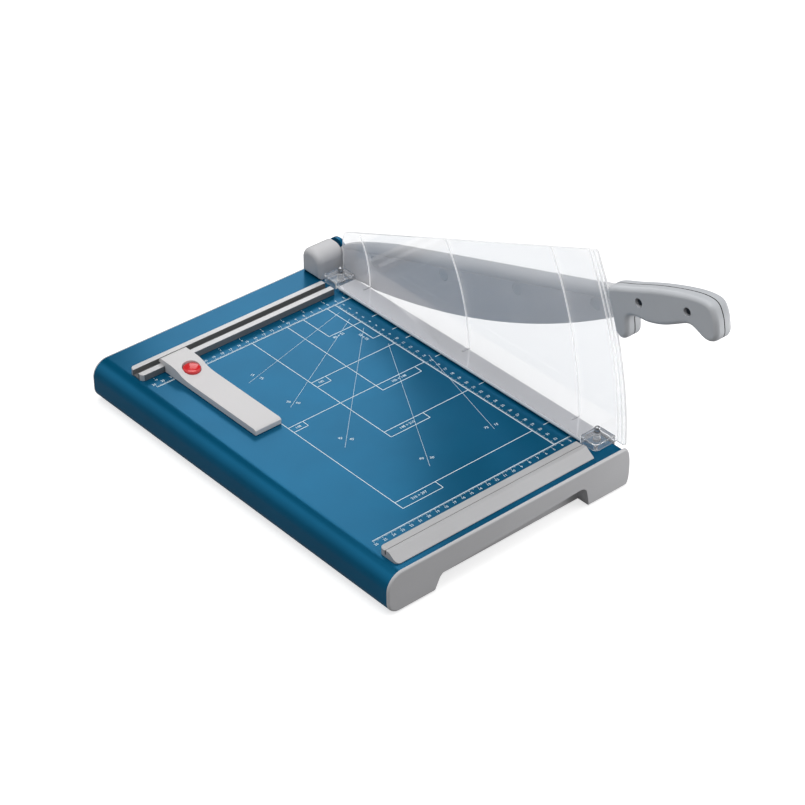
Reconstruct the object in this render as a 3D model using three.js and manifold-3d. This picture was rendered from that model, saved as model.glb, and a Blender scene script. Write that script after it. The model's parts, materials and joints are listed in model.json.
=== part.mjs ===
// Desk guillotine for A4 paper: a folded steel table between two moulded end caps, a blade arm on a
// pivot at the rear right corner, a sprung clear guard that clamps the sheet, and a sliding backstop.
// Millimetres. X runs right towards the cutting edge, Y back towards the pivot, Z up from the bench.
// The cutting plane is x = 0 and the front face of the back rail is y = 0.
import * as THREE from 'three';
import { mergeVertices } from 'three/addons/utils/BufferGeometryUtils.js';
import Module from 'manifold-3d';

const wasm = await Module();
wasm.setup();

// Shared clearances and cutting allowance
const seat = 0.3;                 // gap left between parts that seat on each other
const running = 0.4;              // gap left where one part moves past another
const overrun = 1;                // how far a cutting solid runs past the face it cuts
const weld = 0.0001;              // vertices closer than this are one vertex

// Table sheet
const tableHeight = 43;           // bench to table top
const sheetGauge = 1.5;
const tableFlat = 263.3;          // flat width of the top, flange to rolled edge
const noseRadius = 17;            // rolled left edge, upper bend
const noseLowerRadius = 13;       // rolled left edge, lower bend
const padProud = 1.5;             // rubber feet stand this far below the caps
const lipWidth = 12;              // inward lip under the rolled edge
const flangeFoot = 12;            // height of the right flange's lower edge
const foldRadius = 2.2;
const tableBack = 57;             // rear end of the sheet
const tableFront = -371;          // front end of the sheet

// Bed knife
const bedKnifeThick = 2.25;
const bedKnifeHigh = 20;
const bedKnifeBackInset = 35;      // its ends from the ends of the sheet
const bedKnifeFrontInset = 13;
const bedScrewCount = 5;
const bedScrewInset = 14;         // end screws from the ends of the strip
const planeGap = 0.15;            // half of the working gap between the two knives

// End caps
const capWall = 2.5;
const capDepth = 17.5;            // how far a cap reaches into the sheet
const capEdgeRadius = 2.1;
const capEarBulge = 5.9;          // the cap's right side beyond the cutting plane
const capEarHeight = 20.6;        // height of its widest place
const recessDepth = 14.5;         // hand recess
const recessRight = -45;          // its ends at the foot, and where they meet the ceiling
const recessRightHead = -50;
const recessLeftInset = 51;        // its left end from the rolled edge
const recessLeftHeadInset = 60;
const recessHighRise = 24.4;      // recess ceiling at its right end
const recessLowRise = 17.2;       // recess ceiling at its left end
const recessCorner = 8;
const capFloor = 4;               // plastic over each rubber foot
const padRadius = 7;
const padHigh = 3;
const padInsetLeft = 35;          // pad centre from the rolled edge
const padInsetRight = 23;         // pad centre from the cutting plane
const capBossRadius = 4.2;
const capBossHigh = 9;

// Rails
const railHigh = 7;
const railRight = -33;            // right ends of both rails
const railStripFront = 6.5;       // front strip of the back rail
const railGroove = 7.7;
const railStripBack = 6;
const grooveFloor = 1.5;
const railCorner = 4.5;
const railEdge = 0.7;
const frontRailInset = 29.2;       // front rail's rear face from the sheet's front end
const frontStrip = 7.4;
const frontSlit = 1.2;
const frontSlitFloor = 3;
const frontCrest = 4.2;
const frontSlope = 10.4;
const frontRailRise = 0.8;        // its front part stands this much above the rear strip
const railScrewInset = 38;
const railScrewBite = 4.2;

// Backstop
const stopReach = 138.5;          // front end of the arm
const stopWide = 30;
const stopFromRailEnd = 56;       // its working face from the rails' left ends
const stopFloor = 0.5;            // lower edge above the table
const stopArmHigh = 7;
const stopTipDrop = 1.5;          // the tip's chamfer
const stopTipRun = 2.5;
const stopHeadLong = 40;
const stopHeadHigh = 12.5;
const stopHookReach = 9.2;        // rear face of the head behind the rail's front face
const stopHookThick = 2.3;
const stopHookFoot = 3.5;
const stopRounding = 1.6;
const stopWall = 2.3;
const stopCavityLong = 36;
const jawLong = 33;
const jawThick = 1.2;
const jawLip = 1.5;
const jawHigh = 6.5;
const buttonRadius = 8.7;
const buttonAt = 22.6;            // button centre in front of the rail's face
const buttonFoot = 4.2;           // lower edge of its retaining flange above the table
const buttonFlange = 1.5;
const buttonFlangeHigh = 1;
const buttonShoulder = 9.6;       // where the dome starts
const buttonCrown = 12.4;
const buttonWall = 1.7;
const buttonTop = 3.8;            // plastic below the crown

// Lever and blade, drawn closed: forward from the pivot and up from it
const pivotInset = 14;            // pivot from the sheet's rear end
const pivotDrop = 3;              // and below the table top
const leverRest = 17.5;           // degrees that the lever stands open at rest
const armThick = 10;
const armGap = 0.45;              // arm's inner face beyond the cutting plane
const armTop = 37;
const armHeel = 110;              // length of the arm's sloping rear end
const armRounding = 3;
const armBeyondKnife = 1.6;       // the arm's end beyond the blade's
const eyeRadius = 13;
const eyeThick = 4.95;
const eyeMargin = 2.5;            // thin part of the arm beyond the bracket's cheek
const heelFoot = 62;              // where the eye's lower side meets the arm's lower edge
const knifeThick = 3;
const knifeTop = 25;
const knifeBack = 21;
const knifeBeyondTable = 3;       // the blade's end beyond the sheet's front end
const bellyRadius = 850;          // the cutting edge is one long arc
const bellyAt = 188;              // its lowest point forward of the pivot
const bellyDrop = 22.3;           // and below the pivot
const grindWidth = 6;             // width of the ground bevel
const armSetback = 12;            // arm's lower edge above the cutting edge
const bladeScrewCount = 4;
const bladeScrewFirst = 76.5;
const bladeScrewLastInset = 24.3; // last screw from the blade's end
const bladeScrewDrop = 7.7;       // below the blade's top
const bladeScrewHead = 5.5;
const bladeScrewHeadHigh = 1.8;
const bladeScrewShank = 3;
const bladeScrewEnd = 8.8;        // from the cutting plane

// Handle
const handleLength = 131.5;       // its rear face is an arc about the pivot
const handleCrownRise = 9.7;      // its highest place above the arm
const handleTall = 58;
const handleThick = 19.9;
const handleLeft = -7.5;
const handleRounding = 4;
const handleSeam = 2.3;           // where the two halves meet
const tangThick = 4;
const tangDrop = 0.4;             // tang's top below the arm's
const tangHigh = 11;
const tangRootDepth = 9.6;        // how far the tang starts inside the arm
const tangEndInset = 18.5;        // from the handle's end
const handleScrewLift = 5;        // above the tang's foot
const handleScrewFrontInset = 38.3;
const handleScrewEndInset = 16;   // from the tang's end
const handleScrewHead = 3.4;
const handleScrewHeadHigh = 2.6;
const handleScrewShank = 2;
const handleScrewRecess = 4.7;    // depth of the recess in the left face
const handleScrewEnd = 9.4;

// Pivot
const boltRadius = 5;
const boltHeadAcross = 17;
const boltHeadHigh = 6.2;
const bushFlange = 10.5;
const bushFlangeThick = 2.4;
const bushWall = 1.7;
const bushProud = 0.05;           // bush end beyond the eye's face
const bracketGauge = 4;
const bracketInset = 0.5;         // its rear face from the sheet's rear end
const bracketReach = 17.5;        // its front face forward of the pivot
const bracketFoot = 5;
const legShoulder = 1;            // shoulder of the inner leg above the pivot
const cheekCrown = 18.5;          // centre of the cheek's round top above the pivot
const washerThick = 1.5;
const discSpringHigh = 3.6;
const nutHigh = 8;
const nutAcross = 15.5;
const boltProud = 1.2;
const stackRadius = 9;
const coverRight = -0.6;
const coverLong = 29.9;
const coverDeep = 27.8;
const coverHigh = 27.2;
const coverCrown = 11;
const coverWall = 2.4;
const coverRounding = 4;

// Guard and clamp, drawn raised as at rest
const guardGap = 0.9;             // guard's outer face left of the cutting plane
const guardGauge = 2.2;
const guardBack = 22.8;
const guardTopRise = 58.7;        // height of the sloping top edge above the table
const guardTopAt = 6.9;           // and where it is met, forward of the rail's face
const guardTopSlope = 0.408;
const guardBackCorner = 32;
const guardNearCorner = 7;
const guardLift = 2;              // open gap under the clamp bar
const barThick = 1.6;
const barClear = 1;               // its ends from the blocks
const barLeft = -26.2;
const barRight = -3.4;
const flangeThick = 2;
const flangeLeft = -26.5;
const blockLeft = -27.5;
const blockLong = 21;
const blockHigh = 7.2;
const blockWall = 2;
const blockCorner = 5;
const rearBlockBack = 25;
const frontBlockInset = 10;       // front block from the sheet's front end
const ribWide = 1.2;
const ribProud = 1;
const ribRadii = [357.5, 208.5];
const ribFoot = 9;                // length of each rib's foot on the flange
const edgeRibInsets = [4, 9];
const shortRibAt = 20;            // foot of the short rear rib
const shortRibLean = 14;
const shortRibHigh = 52;
const pinAt = -12;
const rearPinInset = 9.3;         // from the rear block's back
const frontPinInset = 14;         // from the front block's front
const pinRadius = 2;
const pinBall = 2.7;
const pinBallRise = 13.8;
const pinCollar = 3.1;
const pinCollarHigh = 0.8;
const pinNeck = 1.7;
const pinFlange = 4;
const pinFlangeHigh = 1.2;
const pinTail = 7;
const pinNutAcross = 7;
const pinNutHigh = 3.2;

// Springs
const clampSpringRadius = 3.1;
const clampSpringWire = 0.35;
const clampSpringTurns = 3.5;
const buttonSpringRadius = 3;
const buttonSpringWire = 0.3;
const buttonSpringTurns = 3.5;

// Small fasteners
const screwShank = 1.6;
const screwHead = 3.2;
const screwHeadHigh = 1.8;
const lowHeadHigh = 1;
const sunkHeadHigh = 1.2;
const holeGap = 0.35;             // hole radius over the shank's
const screwTail = 2;              // shank standing out behind the last sheet

// Outlines, as shares of the length and height they are drawn in
const handleFaceShares = [0.117, 0.824];
const heelShares = [[1, 1], [0.6, 0.92], [0.26, 0.77], [0.1, 0.53]];
const heelCurveShare = 0.6;
const stopHeadShares = [[1, 0], [0.625, 0.36], [0.45, 0.82], [0.125, 1], [-0.125, 1], [-0.23, 0.64]];
const handleShares = [
  [0.019, 0.884], [0.084, 0.912], [0.219, 0.933], [0.433, 0.981], [0.639, 1], [0.81, 0.988],
  [0.919, 0.943], [0.98, 0.855], [1, 0.678], [0.998, 0.522], [0.985, 0.359], [0.951, 0.271],
  [0.897, 0.247], [0.844, 0.298], [0.798, 0.393], [0.753, 0.464], [0.7, 0.476], [0.593, 0.422],
  [0.479, 0.372], [0.35, 0.367], [0.251, 0.416], [0.183, 0.422], [0.146, 0.35], [0.133, 0.195],
  [0.118, 0.074], [0.084, 0.005], [0.042, 0], [0.0115, 0.074],
];
const headDomeShares = [[0.72, 1], [1, 0.55]];

// Places worked out from the values above
const sheetOut = -(bedKnifeThick + planeGap + seat);
const sheetIn = sheetOut - sheetGauge;
const tableLeft = sheetOut - tableFlat - noseRadius;
const noseCentre = tableLeft + noseRadius;
const recessLeft = tableLeft + recessLeftInset;
const recessLeftHead = tableLeft + recessLeftHeadInset;
const railLeft = noseCentre;
const railLength = railRight - railLeft;
const frontRailBack = tableFront + frontRailInset;
const stopFace = railLeft + stopFromRailEnd;
const bedKnifeBack = tableBack - bedKnifeBackInset;
const bedKnifeFront = tableFront + bedKnifeFrontInset;
const pivotBack = tableBack - pivotInset;
const pivotHeight = tableHeight - pivotDrop;
const knifeEnd = pivotBack - tableFront + knifeBeyondTable;
const guardEdge = knifeEnd;       // near edge, an arc about the pivot
const bladeScrewLast = knifeEnd - bladeScrewLastInset;
const bladeScrewRise = knifeTop - bladeScrewDrop;
const armEnd = knifeEnd + armBeyondKnife;
const handleFace = armEnd + running;
const handleCrown = armTop + handleCrownRise;
const tangTop = armTop - tangDrop;
const tangFoot = tangTop - tangHigh;
const tangRoot = armEnd - tangRootDepth;
const tangEnd = handleFace + handleLength - tangEndInset;
const handleScrewRise = tangFoot + handleScrewLift;
const handleScrewAt = [handleFace + handleScrewFrontInset, tangEnd - handleScrewEndInset];
const bushEnd = armGap + eyeThick + bushProud;
const cheekInner = bushEnd + running;
const bracketBack = tableBack - bracketInset;
const bracketFront = pivotBack - bracketReach;
const bracketLegTop = pivotHeight + legShoulder;
const eyeReach = cheekCrown + (bracketBack - bracketFront) / 2 + eyeMargin;
const coverBack = tableBack - running;
const coverFront = coverBack - coverDeep;
const frontBlockFront = tableFront + frontBlockInset;
const frontBlockBack = frontBlockFront + blockLong;
const rearBlockFront = rearBlockBack - blockLong;
const barBack = rearBlockFront - barClear;
const barFront = frontBlockBack + barClear;
const rearPinY = rearBlockBack - rearPinInset;
const frontPinY = frontBlockFront + frontPinInset;
const lowerCentre = tableLeft + noseLowerRadius;
const sheetUnder = tableHeight - sheetGauge;
const onTable = tableHeight + seat;
const legRight = sheetIn - seat;
const legLeft = legRight - bracketGauge;
const legEye = stackRadius + bushWall;
const washerAt = legLeft - seat;
const springAt = washerAt - washerThick - seat;
const nutAt = springAt - discSpringHigh - seat;
const boltEnd = nutAt - nutHigh - boltProud;
const notchLeft = boltEnd - overrun;
const capPadInset = (capWall + capDepth) / 2;
const padXs = [tableLeft + padInsetLeft, -padInsetRight];
const backRailBack = railStripFront + railGroove + railStripBack;
const railTop = tableHeight + railHigh;
const railClear = railTop + running;
const bladeScrewSeat = planeGap + bladeScrewHeadHigh;
const handleRight = handleLeft + handleThick;
const handleScrewSeat = handleLeft + handleScrewRecess;
const clampUnder = tableHeight + guardLift;
const flangeUnder = clampUnder + barThick + seat;
const flangeTop = flangeUnder + flangeThick;
const blockTop = clampUnder + blockHigh;
const guardInner = -guardGap - guardGauge;
const stopLow = tableHeight + stopFloor;
const stopLeft = stopFace - stopWide;
const stopMiddle = stopFace - stopWide / 2;

// Colour, roughness and metalness of each finish
const finishes = {
  bluePaint: [0x1f6a8f, 0.38, 0.1],
  greyPlastic: [0xb4b4b6, 0.5, 0],
  palePlastic: [0xd4d2d3, 0.45, 0],
  railPlastic: [0xbdbcbe, 0.5, 0],
  armGrey: [0x8f939c, 0.45, 0.1],
  handlePlastic: [0xc4c5c8, 0.5, 0],
  redPlastic: [0xd83a3e, 0.25, 0],
  clear: [0xe6e9ee, 0.08, 0],
  aluminium: [0xa9abb0, 0.4, 0.9],
  toolSteel: [0x9aa0a8, 0.3, 0.9],
  zincSteel: [0xb8bcc2, 0.35, 0.9],
  chrome: [0xdfe3e8, 0.08, 1],
  bronze: [0xa6793a, 0.4, 0.9],
  rubber: [0x1d1d1f, 0.9, 0],
};

const at = (x, y, z) => new THREE.Vector3(x, y, z);
const right = at(1, 0, 0);
const left = at(-1, 0, 0);
const back = at(0, 1, 0);
const front = at(0, -1, 0);
const up = at(0, 0, 1);
const down = at(0, 0, -1);

const cutter = new THREE.Group();
const lever = new THREE.Group();
lever.position.set(0, pivotBack, pivotHeight);
lever.rotation.x = -THREE.MathUtils.degToRad(leverRest);
cutter.add(lever);

// Welds a geometry's vertices and drops the faces that collapse, so the surface is closed
function welded(geometry) {
  const bare = geometry.clone();
  bare.deleteAttribute('normal');
  bare.deleteAttribute('uv');
  const merged = mergeVertices(bare, weld);
  const kept = [];
  const index = merged.index.array;
  for (let i = 0; i < index.length; i += 3) {
    const [a, b, c] = [index[i], index[i + 1], index[i + 2]];
    if (a !== b && b !== c && c !== a) {
      kept.push(a, b, c);
    }
  }
  merged.setIndex(kept);
  return merged;
}

function solid(geometry) {
  const closed = welded(geometry);
  return new wasm.Manifold(new wasm.Mesh({
    numProp: 3,
    vertProperties: new Float32Array(closed.attributes.position.array),
    triVerts: new Uint32Array(closed.index.array),
  }));
}

// Names a finished body, gives it its finish and adds it to the cutter or the lever
function piece(name, body, finish, carrier = cutter) {
  let geometry;
  if (body.isBufferGeometry) {
    geometry = welded(body);
  } else {
    const mesh = body.getMesh();
    geometry = new THREE.BufferGeometry();
    geometry.setAttribute('position', new THREE.BufferAttribute(mesh.vertProperties, 3));
    geometry.setIndex(new THREE.BufferAttribute(mesh.triVerts, 1));
  }
  geometry.computeVertexNormals();
  const [color, roughness, metalness] = finish;
  const part = new THREE.Mesh(geometry, new THREE.MeshStandardMaterial({ color, roughness, metalness }));
  part.name = name;
  carrier.add(part);
}

const union = (bodies) => bodies.reduce((whole, body) => whole.add(body));
const without = (body, cuts) => cuts.reduce((rest, cut) => rest.subtract(cut), body);

// Extrudes an outline whose axes lie along `across` and `rise`; its depth follows their cross product
function extruded(shape, across, rise, origin, depth, rounding, curveSegments) {
  const geometry = new THREE.ExtrudeGeometry(shape, {
    depth: depth - 2 * rounding,
    bevelEnabled: rounding > 0,
    bevelThickness: rounding,
    bevelSize: rounding,
    bevelOffset: -rounding,
    bevelSegments: 3,
    curveSegments,
    steps: 1,
  });
  geometry.translate(0, 0, rounding);
  const along = new THREE.Vector3().crossVectors(across, rise);
  geometry.applyMatrix4(new THREE.Matrix4().makeBasis(across, rise, along).setPosition(origin));
  return geometry;
}

// Side view: outline (forward, up), cut from x = start towards the left
function sideCut(shape, start, width, rounding = 0, curveSegments = 6) {
  return extruded(shape, front, up, at(start, 0, 0), width, rounding, curveSegments);
}

// Front view: outline (x, z), cut from the further back of two places to the other
function frontCut(shape, oneEnd, otherEnd, rounding = 0, curveSegments = 6) {
  const start = Math.max(oneEnd, otherEnd);
  const length = start - Math.min(oneEnd, otherEnd);
  return extruded(shape, right, up, at(0, start, 0), length, rounding, curveSegments);
}

// Plan view: outline (x, y), cut upwards from z = bottom
function planCut(shape, bottom, height, rounding = 0, curveSegments = 6) {
  return extruded(shape, right, back, at(0, 0, bottom), height, rounding, curveSegments);
}

// Closed outline; a point may carry the radius of its corner
function outline(points) {
  const shape = new THREE.Shape();
  const corners = points.map(([a, b]) => new THREE.Vector2(a, b));
  corners.forEach((corner, i) => {
    const radius = points[i][2] ?? 0;
    const before = corners.at(i - 1).clone().sub(corner);
    const after = corners[(i + 1) % corners.length].clone().sub(corner);
    const room = Math.min(before.length(), after.length()) / 2;
    const run = Math.min(radius / Math.tan(before.angleTo(after) / 2), room);
    const start = before.normalize().multiplyScalar(run).add(corner);
    const end = after.normalize().multiplyScalar(run).add(corner);
    if (i) {
      shape.lineTo(start.x, start.y);
    } else {
      shape.moveTo(start.x, start.y);
    }
    if (run > 0) {
      shape.quadraticCurveTo(corner.x, corner.y, end.x, end.y);
    }
  });
  shape.closePath();
  return shape;
}

function block(x0, x1, y0, y1, z0, z1) {
  const geometry = new THREE.BoxGeometry(x1 - x0, y1 - y0, z1 - z0);
  geometry.translate((x0 + x1) / 2, (y0 + y1) / 2, (z0 + z1) / 2);
  return geometry;
}

// Turned part: profile of [radius, height] along `axis` from `base`
function turned(profile, axis, base, segments = 16) {
  const points = profile.map(([radius, height]) => new THREE.Vector2(radius, height));
  const geometry = new THREE.LatheGeometry(points, segments);
  geometry.applyQuaternion(new THREE.Quaternion().setFromUnitVectors(back, axis));
  geometry.translate(base.x, base.y, base.z);
  return geometry;
}

function rod(radius, length, axis, base, segments = 14) {
  return turned([[0, 0], [radius, 0], [radius, length], [0, length]], axis, base, segments);
}

function tube(outer, inner, length, axis, base, segments = 20) {
  const profile = [[inner, 0], [outer, 0], [outer, length], [inner, length], [inner, 0]];
  return turned(profile, axis, base, segments);
}

// Bore that runs past both ends of the length it cuts
function bore(radius, length, axis, base, segments = 14) {
  const start = base.clone().addScaledVector(axis, -overrun);
  return solid(rod(radius, length + 2 * overrun, axis, start, segments));
}

// Screw whose head seats at `base` and whose shank runs along `axis`
function screw(base, axis, shank, length, head, headHigh, segments = 10) {
  const [crown, rim] = headDomeShares;
  return turned([
    [0, -headHigh * crown[1]], [head * crown[0], -headHigh * crown[1]],
    [head * rim[0], -headHigh * rim[1]], [head, 0], [shank, 0], [shank, length], [0, length],
  ], axis, base, segments);
}

function hexagon(acrossFlats, length, axis, base) {
  return rod(acrossFlats / 2 / Math.cos(Math.PI / 6), length, axis, base, 6);
}

// Even places from one end to the other, both ends included
function spread(count, first, last) {
  return Array.from({ length: count }, (_, i) => first + (last - first) * i / (count - 1));
}

// Coil spring standing on `base`, its wire inside the given height
const turnSteps = 8;
const wireSides = 5;
function coil(name, radius, wire, turns, height, base) {
  class Helix extends THREE.Curve {
    getPoint(t, target = new THREE.Vector3()) {
      const angle = 2 * Math.PI * turns * t;
      const rise = wire + (height - 2 * wire) * t;
      return target.set(radius * Math.cos(angle), radius * Math.sin(angle), rise).add(base);
    }
  }
  const section = new THREE.Shape();
  for (let i = 0; i < wireSides; i += 1) {
    const angle = 2 * Math.PI * i / wireSides;
    if (i) {
      section.lineTo(wire * Math.cos(angle), wire * Math.sin(angle));
    } else {
      section.moveTo(wire * Math.cos(angle), wire * Math.sin(angle));
    }
  }
  section.closePath();
  const steps = Math.round(turns * turnSteps);
  const places = new Helix().getPoints(steps);
  let least = Infinity;
  for (let i = 0; i < places.length; i += 1) {
    for (let j = i + turnSteps / 2; j < places.length; j += 1) {
      least = Math.min(least, places[i].distanceTo(places[j]) - 2 * wire);
    }
  }
  console.log(`${name}: least gap to itself ${least.toFixed(2)} mm`);
  return new THREE.ExtrudeGeometry(section, { steps, extrudePath: new Helix(), bevelEnabled: false });
}

// Table sheet: one folded sheet with a rolled left edge, a right flange and an open underside
function noseLine(inset, steps) {
  const line = new THREE.Path();
  line.absarc(noseCentre, tableHeight - noseRadius, noseRadius - inset, Math.PI / 2, Math.PI, false);
  line.absarc(lowerCentre, padProud + noseLowerRadius, noseLowerRadius - inset,
    Math.PI, 3 * Math.PI / 2, false);
  line.lineTo(lowerCentre + lipWidth, padProud + inset);
  return line.getPoints(steps);
}

function foldLine(inset, steps) {
  const line = new THREE.Path();
  line.moveTo(sheetOut - inset, flangeFoot);
  line.lineTo(sheetOut - inset, tableHeight - foldRadius);
  line.quadraticCurveTo(sheetOut - inset, tableHeight - inset,
    sheetOut - foldRadius, tableHeight - inset);
  return line.getPoints(steps);
}

const noseSteps = 5;
const foldSteps = 3;
const railScrewXs = [railRight - railScrewInset, railLeft + railScrewInset];
const railScrews = railScrewXs.flatMap((x) => [
  at(x, backRailBack - railStripBack / 2, sheetUnder - seat),
  at(x, frontRailBack - frontStrip / 2, sheetUnder - seat),
]);
const bedScrewYs = spread(bedScrewCount, bedKnifeBack - bedScrewInset, bedKnifeFront + bedScrewInset);
const bedScrewZ = tableHeight - bedKnifeHigh / 2;
const bracketScrewYs = [bracketBack - 2 * screwHead, bracketFront + 2 * screwHead];
const bracketScrewZ = flangeFoot + 2 * screwHead;
const pinPlaces = [at(pinAt, rearPinY, tableHeight), at(pinAt, frontPinY, tableHeight)];
const lipScrews = [tableFront + capDepth / 2, tableBack - capDepth / 2]
  .map((y) => at(lowerCentre + lipWidth / 2, y, padProud - seat));

function tableSheet() {
  const outer = [...foldLine(0, foldSteps), ...noseLine(0, noseSteps)];
  const inner = [...foldLine(sheetGauge, foldSteps), ...noseLine(sheetGauge, noseSteps)].reverse();
  const sheet = solid(frontCut(new THREE.Shape([...outer, ...inner]), tableBack, tableFront));
  const boltSlot = boltRadius + holeGap;
  const legSlot = legEye + seat;
  const cuts = [
    solid(block(notchLeft, sheetIn, pivotBack - legSlot, pivotBack + legSlot,
      sheetUnder - overrun, tableHeight + overrun)),
    solid(block(sheetIn - overrun, sheetOut + overrun, pivotBack - boltSlot, pivotBack + boltSlot,
      pivotHeight, tableHeight + overrun)),
    bore(boltSlot, sheetGauge, right, at(sheetIn, pivotBack, pivotHeight)),
  ];
  const hole = screwShank + holeGap;
  for (const place of railScrews) {
    cuts.push(bore(hole, sheetGauge, up, at(place.x, place.y, sheetUnder), 10));
  }
  for (const y of bedScrewYs) {
    cuts.push(bore(hole, sheetGauge, right, at(sheetIn, y, bedScrewZ), 10));
  }
  for (const y of bracketScrewYs) {
    cuts.push(bore(hole, sheetGauge, right, at(sheetIn, y, bracketScrewZ), 10));
  }
  for (const place of pinPlaces) {
    cuts.push(bore(pinRadius + holeGap, sheetGauge, down, place, 10));
  }
  for (const place of lipScrews) {
    cuts.push(bore(hole, sheetGauge, up, at(place.x, place.y, padProud), 10));
  }
  return without(sheet, cuts);
}
piece('table_sheet', tableSheet(), finishes.bluePaint);

// Bed knife: hardened strip screwed to the flange, its top edge level with the table
const bedScrewSeat = -planeGap - seat / 2 - sunkHeadHigh;
function bedKnife() {
  const strip = solid(block(sheetOut + seat, -planeGap, bedKnifeFront, bedKnifeBack,
    tableHeight - bedKnifeHigh, tableHeight));
  const cuts = bedScrewYs.flatMap((y) => [
    bore(screwShank + holeGap, bedKnifeThick, left, at(-planeGap, y, bedScrewZ), 10),
    solid(rod(screwHead + holeGap, sunkHeadHigh + overrun, right,
      at(bedScrewSeat - seat, y, bedScrewZ), 10)),
  ]);
  return without(strip, cuts);
}
piece('bed_knife', bedKnife(), finishes.toolSteel);

bedScrewYs.forEach((y, i) => {
  const length = bedScrewSeat - sheetIn + screwTail;
  piece(`bed_knife_screw_${i + 1}`, screw(at(bedScrewSeat, y, bedScrewZ), left, screwShank, length,
    screwHead, sunkHeadHigh), finishes.zincSteel);
});

// End caps: moulded covers with a hand recess, two feet and an ear past the cutting plane
function capOutline() {
  const shape = new THREE.Shape();
  const corner = sheetOut + 2 * seat;
  shape.moveTo(corner, tableHeight);
  for (const point of noseLine(0, noseSteps)) {
    shape.lineTo(point.x, point.y);
  }
  shape.lineTo(2 * seat, padProud);
  shape.quadraticCurveTo(capEarBulge, padProud + running, capEarBulge, capEarHeight);
  shape.quadraticCurveTo(capEarBulge, tableHeight - 2 * running, corner, tableHeight);
  return shape;
}

// The plug inside the sheet, or its hollow when inset by a wall
function plugOutline(wall, floor) {
  const inset = sheetGauge + seat + wall;
  const side = sheetOut - inset;
  const nose = noseLine(inset, noseSteps);
  const lipEnd = nose.pop();
  const shape = new THREE.Shape();
  shape.moveTo(side, tableHeight - inset - running);
  shape.lineTo(side - running, tableHeight - inset);
  for (const point of nose) {
    shape.lineTo(point.x, Math.max(point.y, floor));
  }
  shape.lineTo(lipEnd.x + seat, Math.max(lipEnd.y, floor));
  shape.lineTo(lipEnd.x + seat, floor);
  shape.lineTo(side, floor);
  shape.closePath();
  return shape;
}

function recessOutline(grow) {
  return outline([
    [recessRight + grow, -overrun],
    [recessRightHead + grow, recessHighRise + grow, recessCorner + grow],
    [recessLeftHead - grow, recessLowRise + grow, recessCorner + grow],
    [recessLeft - grow, -overrun],
  ]);
}

// One cap: `end` is the end of the sheet that it closes and `outward` its direction along y
function endCap(end, outward, lipScrew, pocketed) {
  const face = end + outward * capWall;
  const inner = end - outward * capDepth;
  const spare = end - outward * 2 * capWall;
  const slab = solid(frontCut(capOutline(), face, face - outward * 2 * capWall, capEdgeRadius, 5))
    .subtract(solid(block(tableLeft - overrun, capEarBulge + overrun, Math.min(end, spare),
      Math.max(end, spare), -overrun, tableHeight + overrun)));
  const plug = solid(frontCut(plugOutline(0, padProud), end + outward * seat, inner));
  const boss = solid(rod(capBossRadius, capBossHigh, up, at(lipScrew.x, lipScrew.y, capFloor)));
  const recessShell = solid(frontCut(recessOutline(capWall), end + outward * overrun,
    face - outward * (recessDepth + capWall)));
  const hollow = solid(frontCut(plugOutline(capWall, padProud + capFloor), end,
    inner - outward * overrun)).subtract(recessShell).subtract(boss);
  const cuts = [
    hollow,
    solid(frontCut(recessOutline(0), face + outward * overrun, face - outward * recessDepth)),
    solid(rod(screwShank + holeGap, capBossHigh, up, at(lipScrew.x, lipScrew.y, padProud), 10)),
  ];
  for (const x of padXs) {
    const base = at(x, face - outward * capPadInset, -overrun);
    cuts.push(solid(rod(padRadius + seat, padHigh + seat + overrun, up, base, 16)));
  }
  if (pocketed) {
    cuts.push(solid(block(notchLeft, capEarBulge, inner - overrun, bracketBack + seat,
      bracketFoot - seat, tableHeight + overrun)));
  }
  return without(slab.add(plug), cuts);
}
piece('front_end_cap', endCap(tableFront, -1, lipScrews[0], false), finishes.greyPlastic);
piece('back_end_cap', endCap(tableBack, 1, lipScrews[1], true), finishes.greyPlastic);

// Rubber feet, pressed into the caps
[tableFront - capWall + capPadInset, tableBack + capWall - capPadInset].forEach((y, i) => {
  padXs.forEach((x, j) => {
    piece(`foot_${i ? 'back' : 'front'}_${j ? 'right' : 'left'}`, turned([
      [0, 0], [padRadius - running, 0], [padRadius, running], [padRadius, padHigh], [0, padHigh],
    ], up, at(x, y, 0), 16), finishes.rubber);
  });
});

lipScrews.forEach((place, i) => {
  const length = sheetGauge + capBossHigh - screwShank;
  piece(`cap_screw_${i ? 'back' : 'front'}`,
    screw(place, up, screwShank, length, screwHead, lowHeadHigh), finishes.zincSteel);
});

// Back rail: moulded strip with a groove that the backstop's hook runs in
function railPlan(frontY, backY) {
  return solid(planCut(outline([
    [railRight, frontY, running], [railRight, backY, running],
    [railLeft, backY, railCorner], [railLeft, frontY, railCorner],
  ]), tableHeight, 2 * railHigh));
}

function railHoles(places) {
  return places.map((place) => solid(rod(screwShank + holeGap, railScrewBite + overrun + 2 * seat, up,
    at(place.x, place.y, tableHeight - overrun), 10)));
}

function backRail() {
  const groove = railStripFront + railGroove;
  const floor = tableHeight + grooveFloor;
  const profile = outline([
    [0, onTable], [0, railTop, railEdge], [-railStripFront, railTop, railEdge],
    [-railStripFront, floor], [-groove, floor], [-groove, railTop, railEdge],
    [-backRailBack, railTop, railEdge], [-backRailBack, onTable],
  ]);
  const body = solid(sideCut(profile, railRight, railLength, 0, 3)).intersect(railPlan(0, backRailBack));
  return without(body, railHoles(railScrews.filter((place) => place.y > 0)));
}
piece('back_rail', backRail(), finishes.railPlastic);

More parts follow.
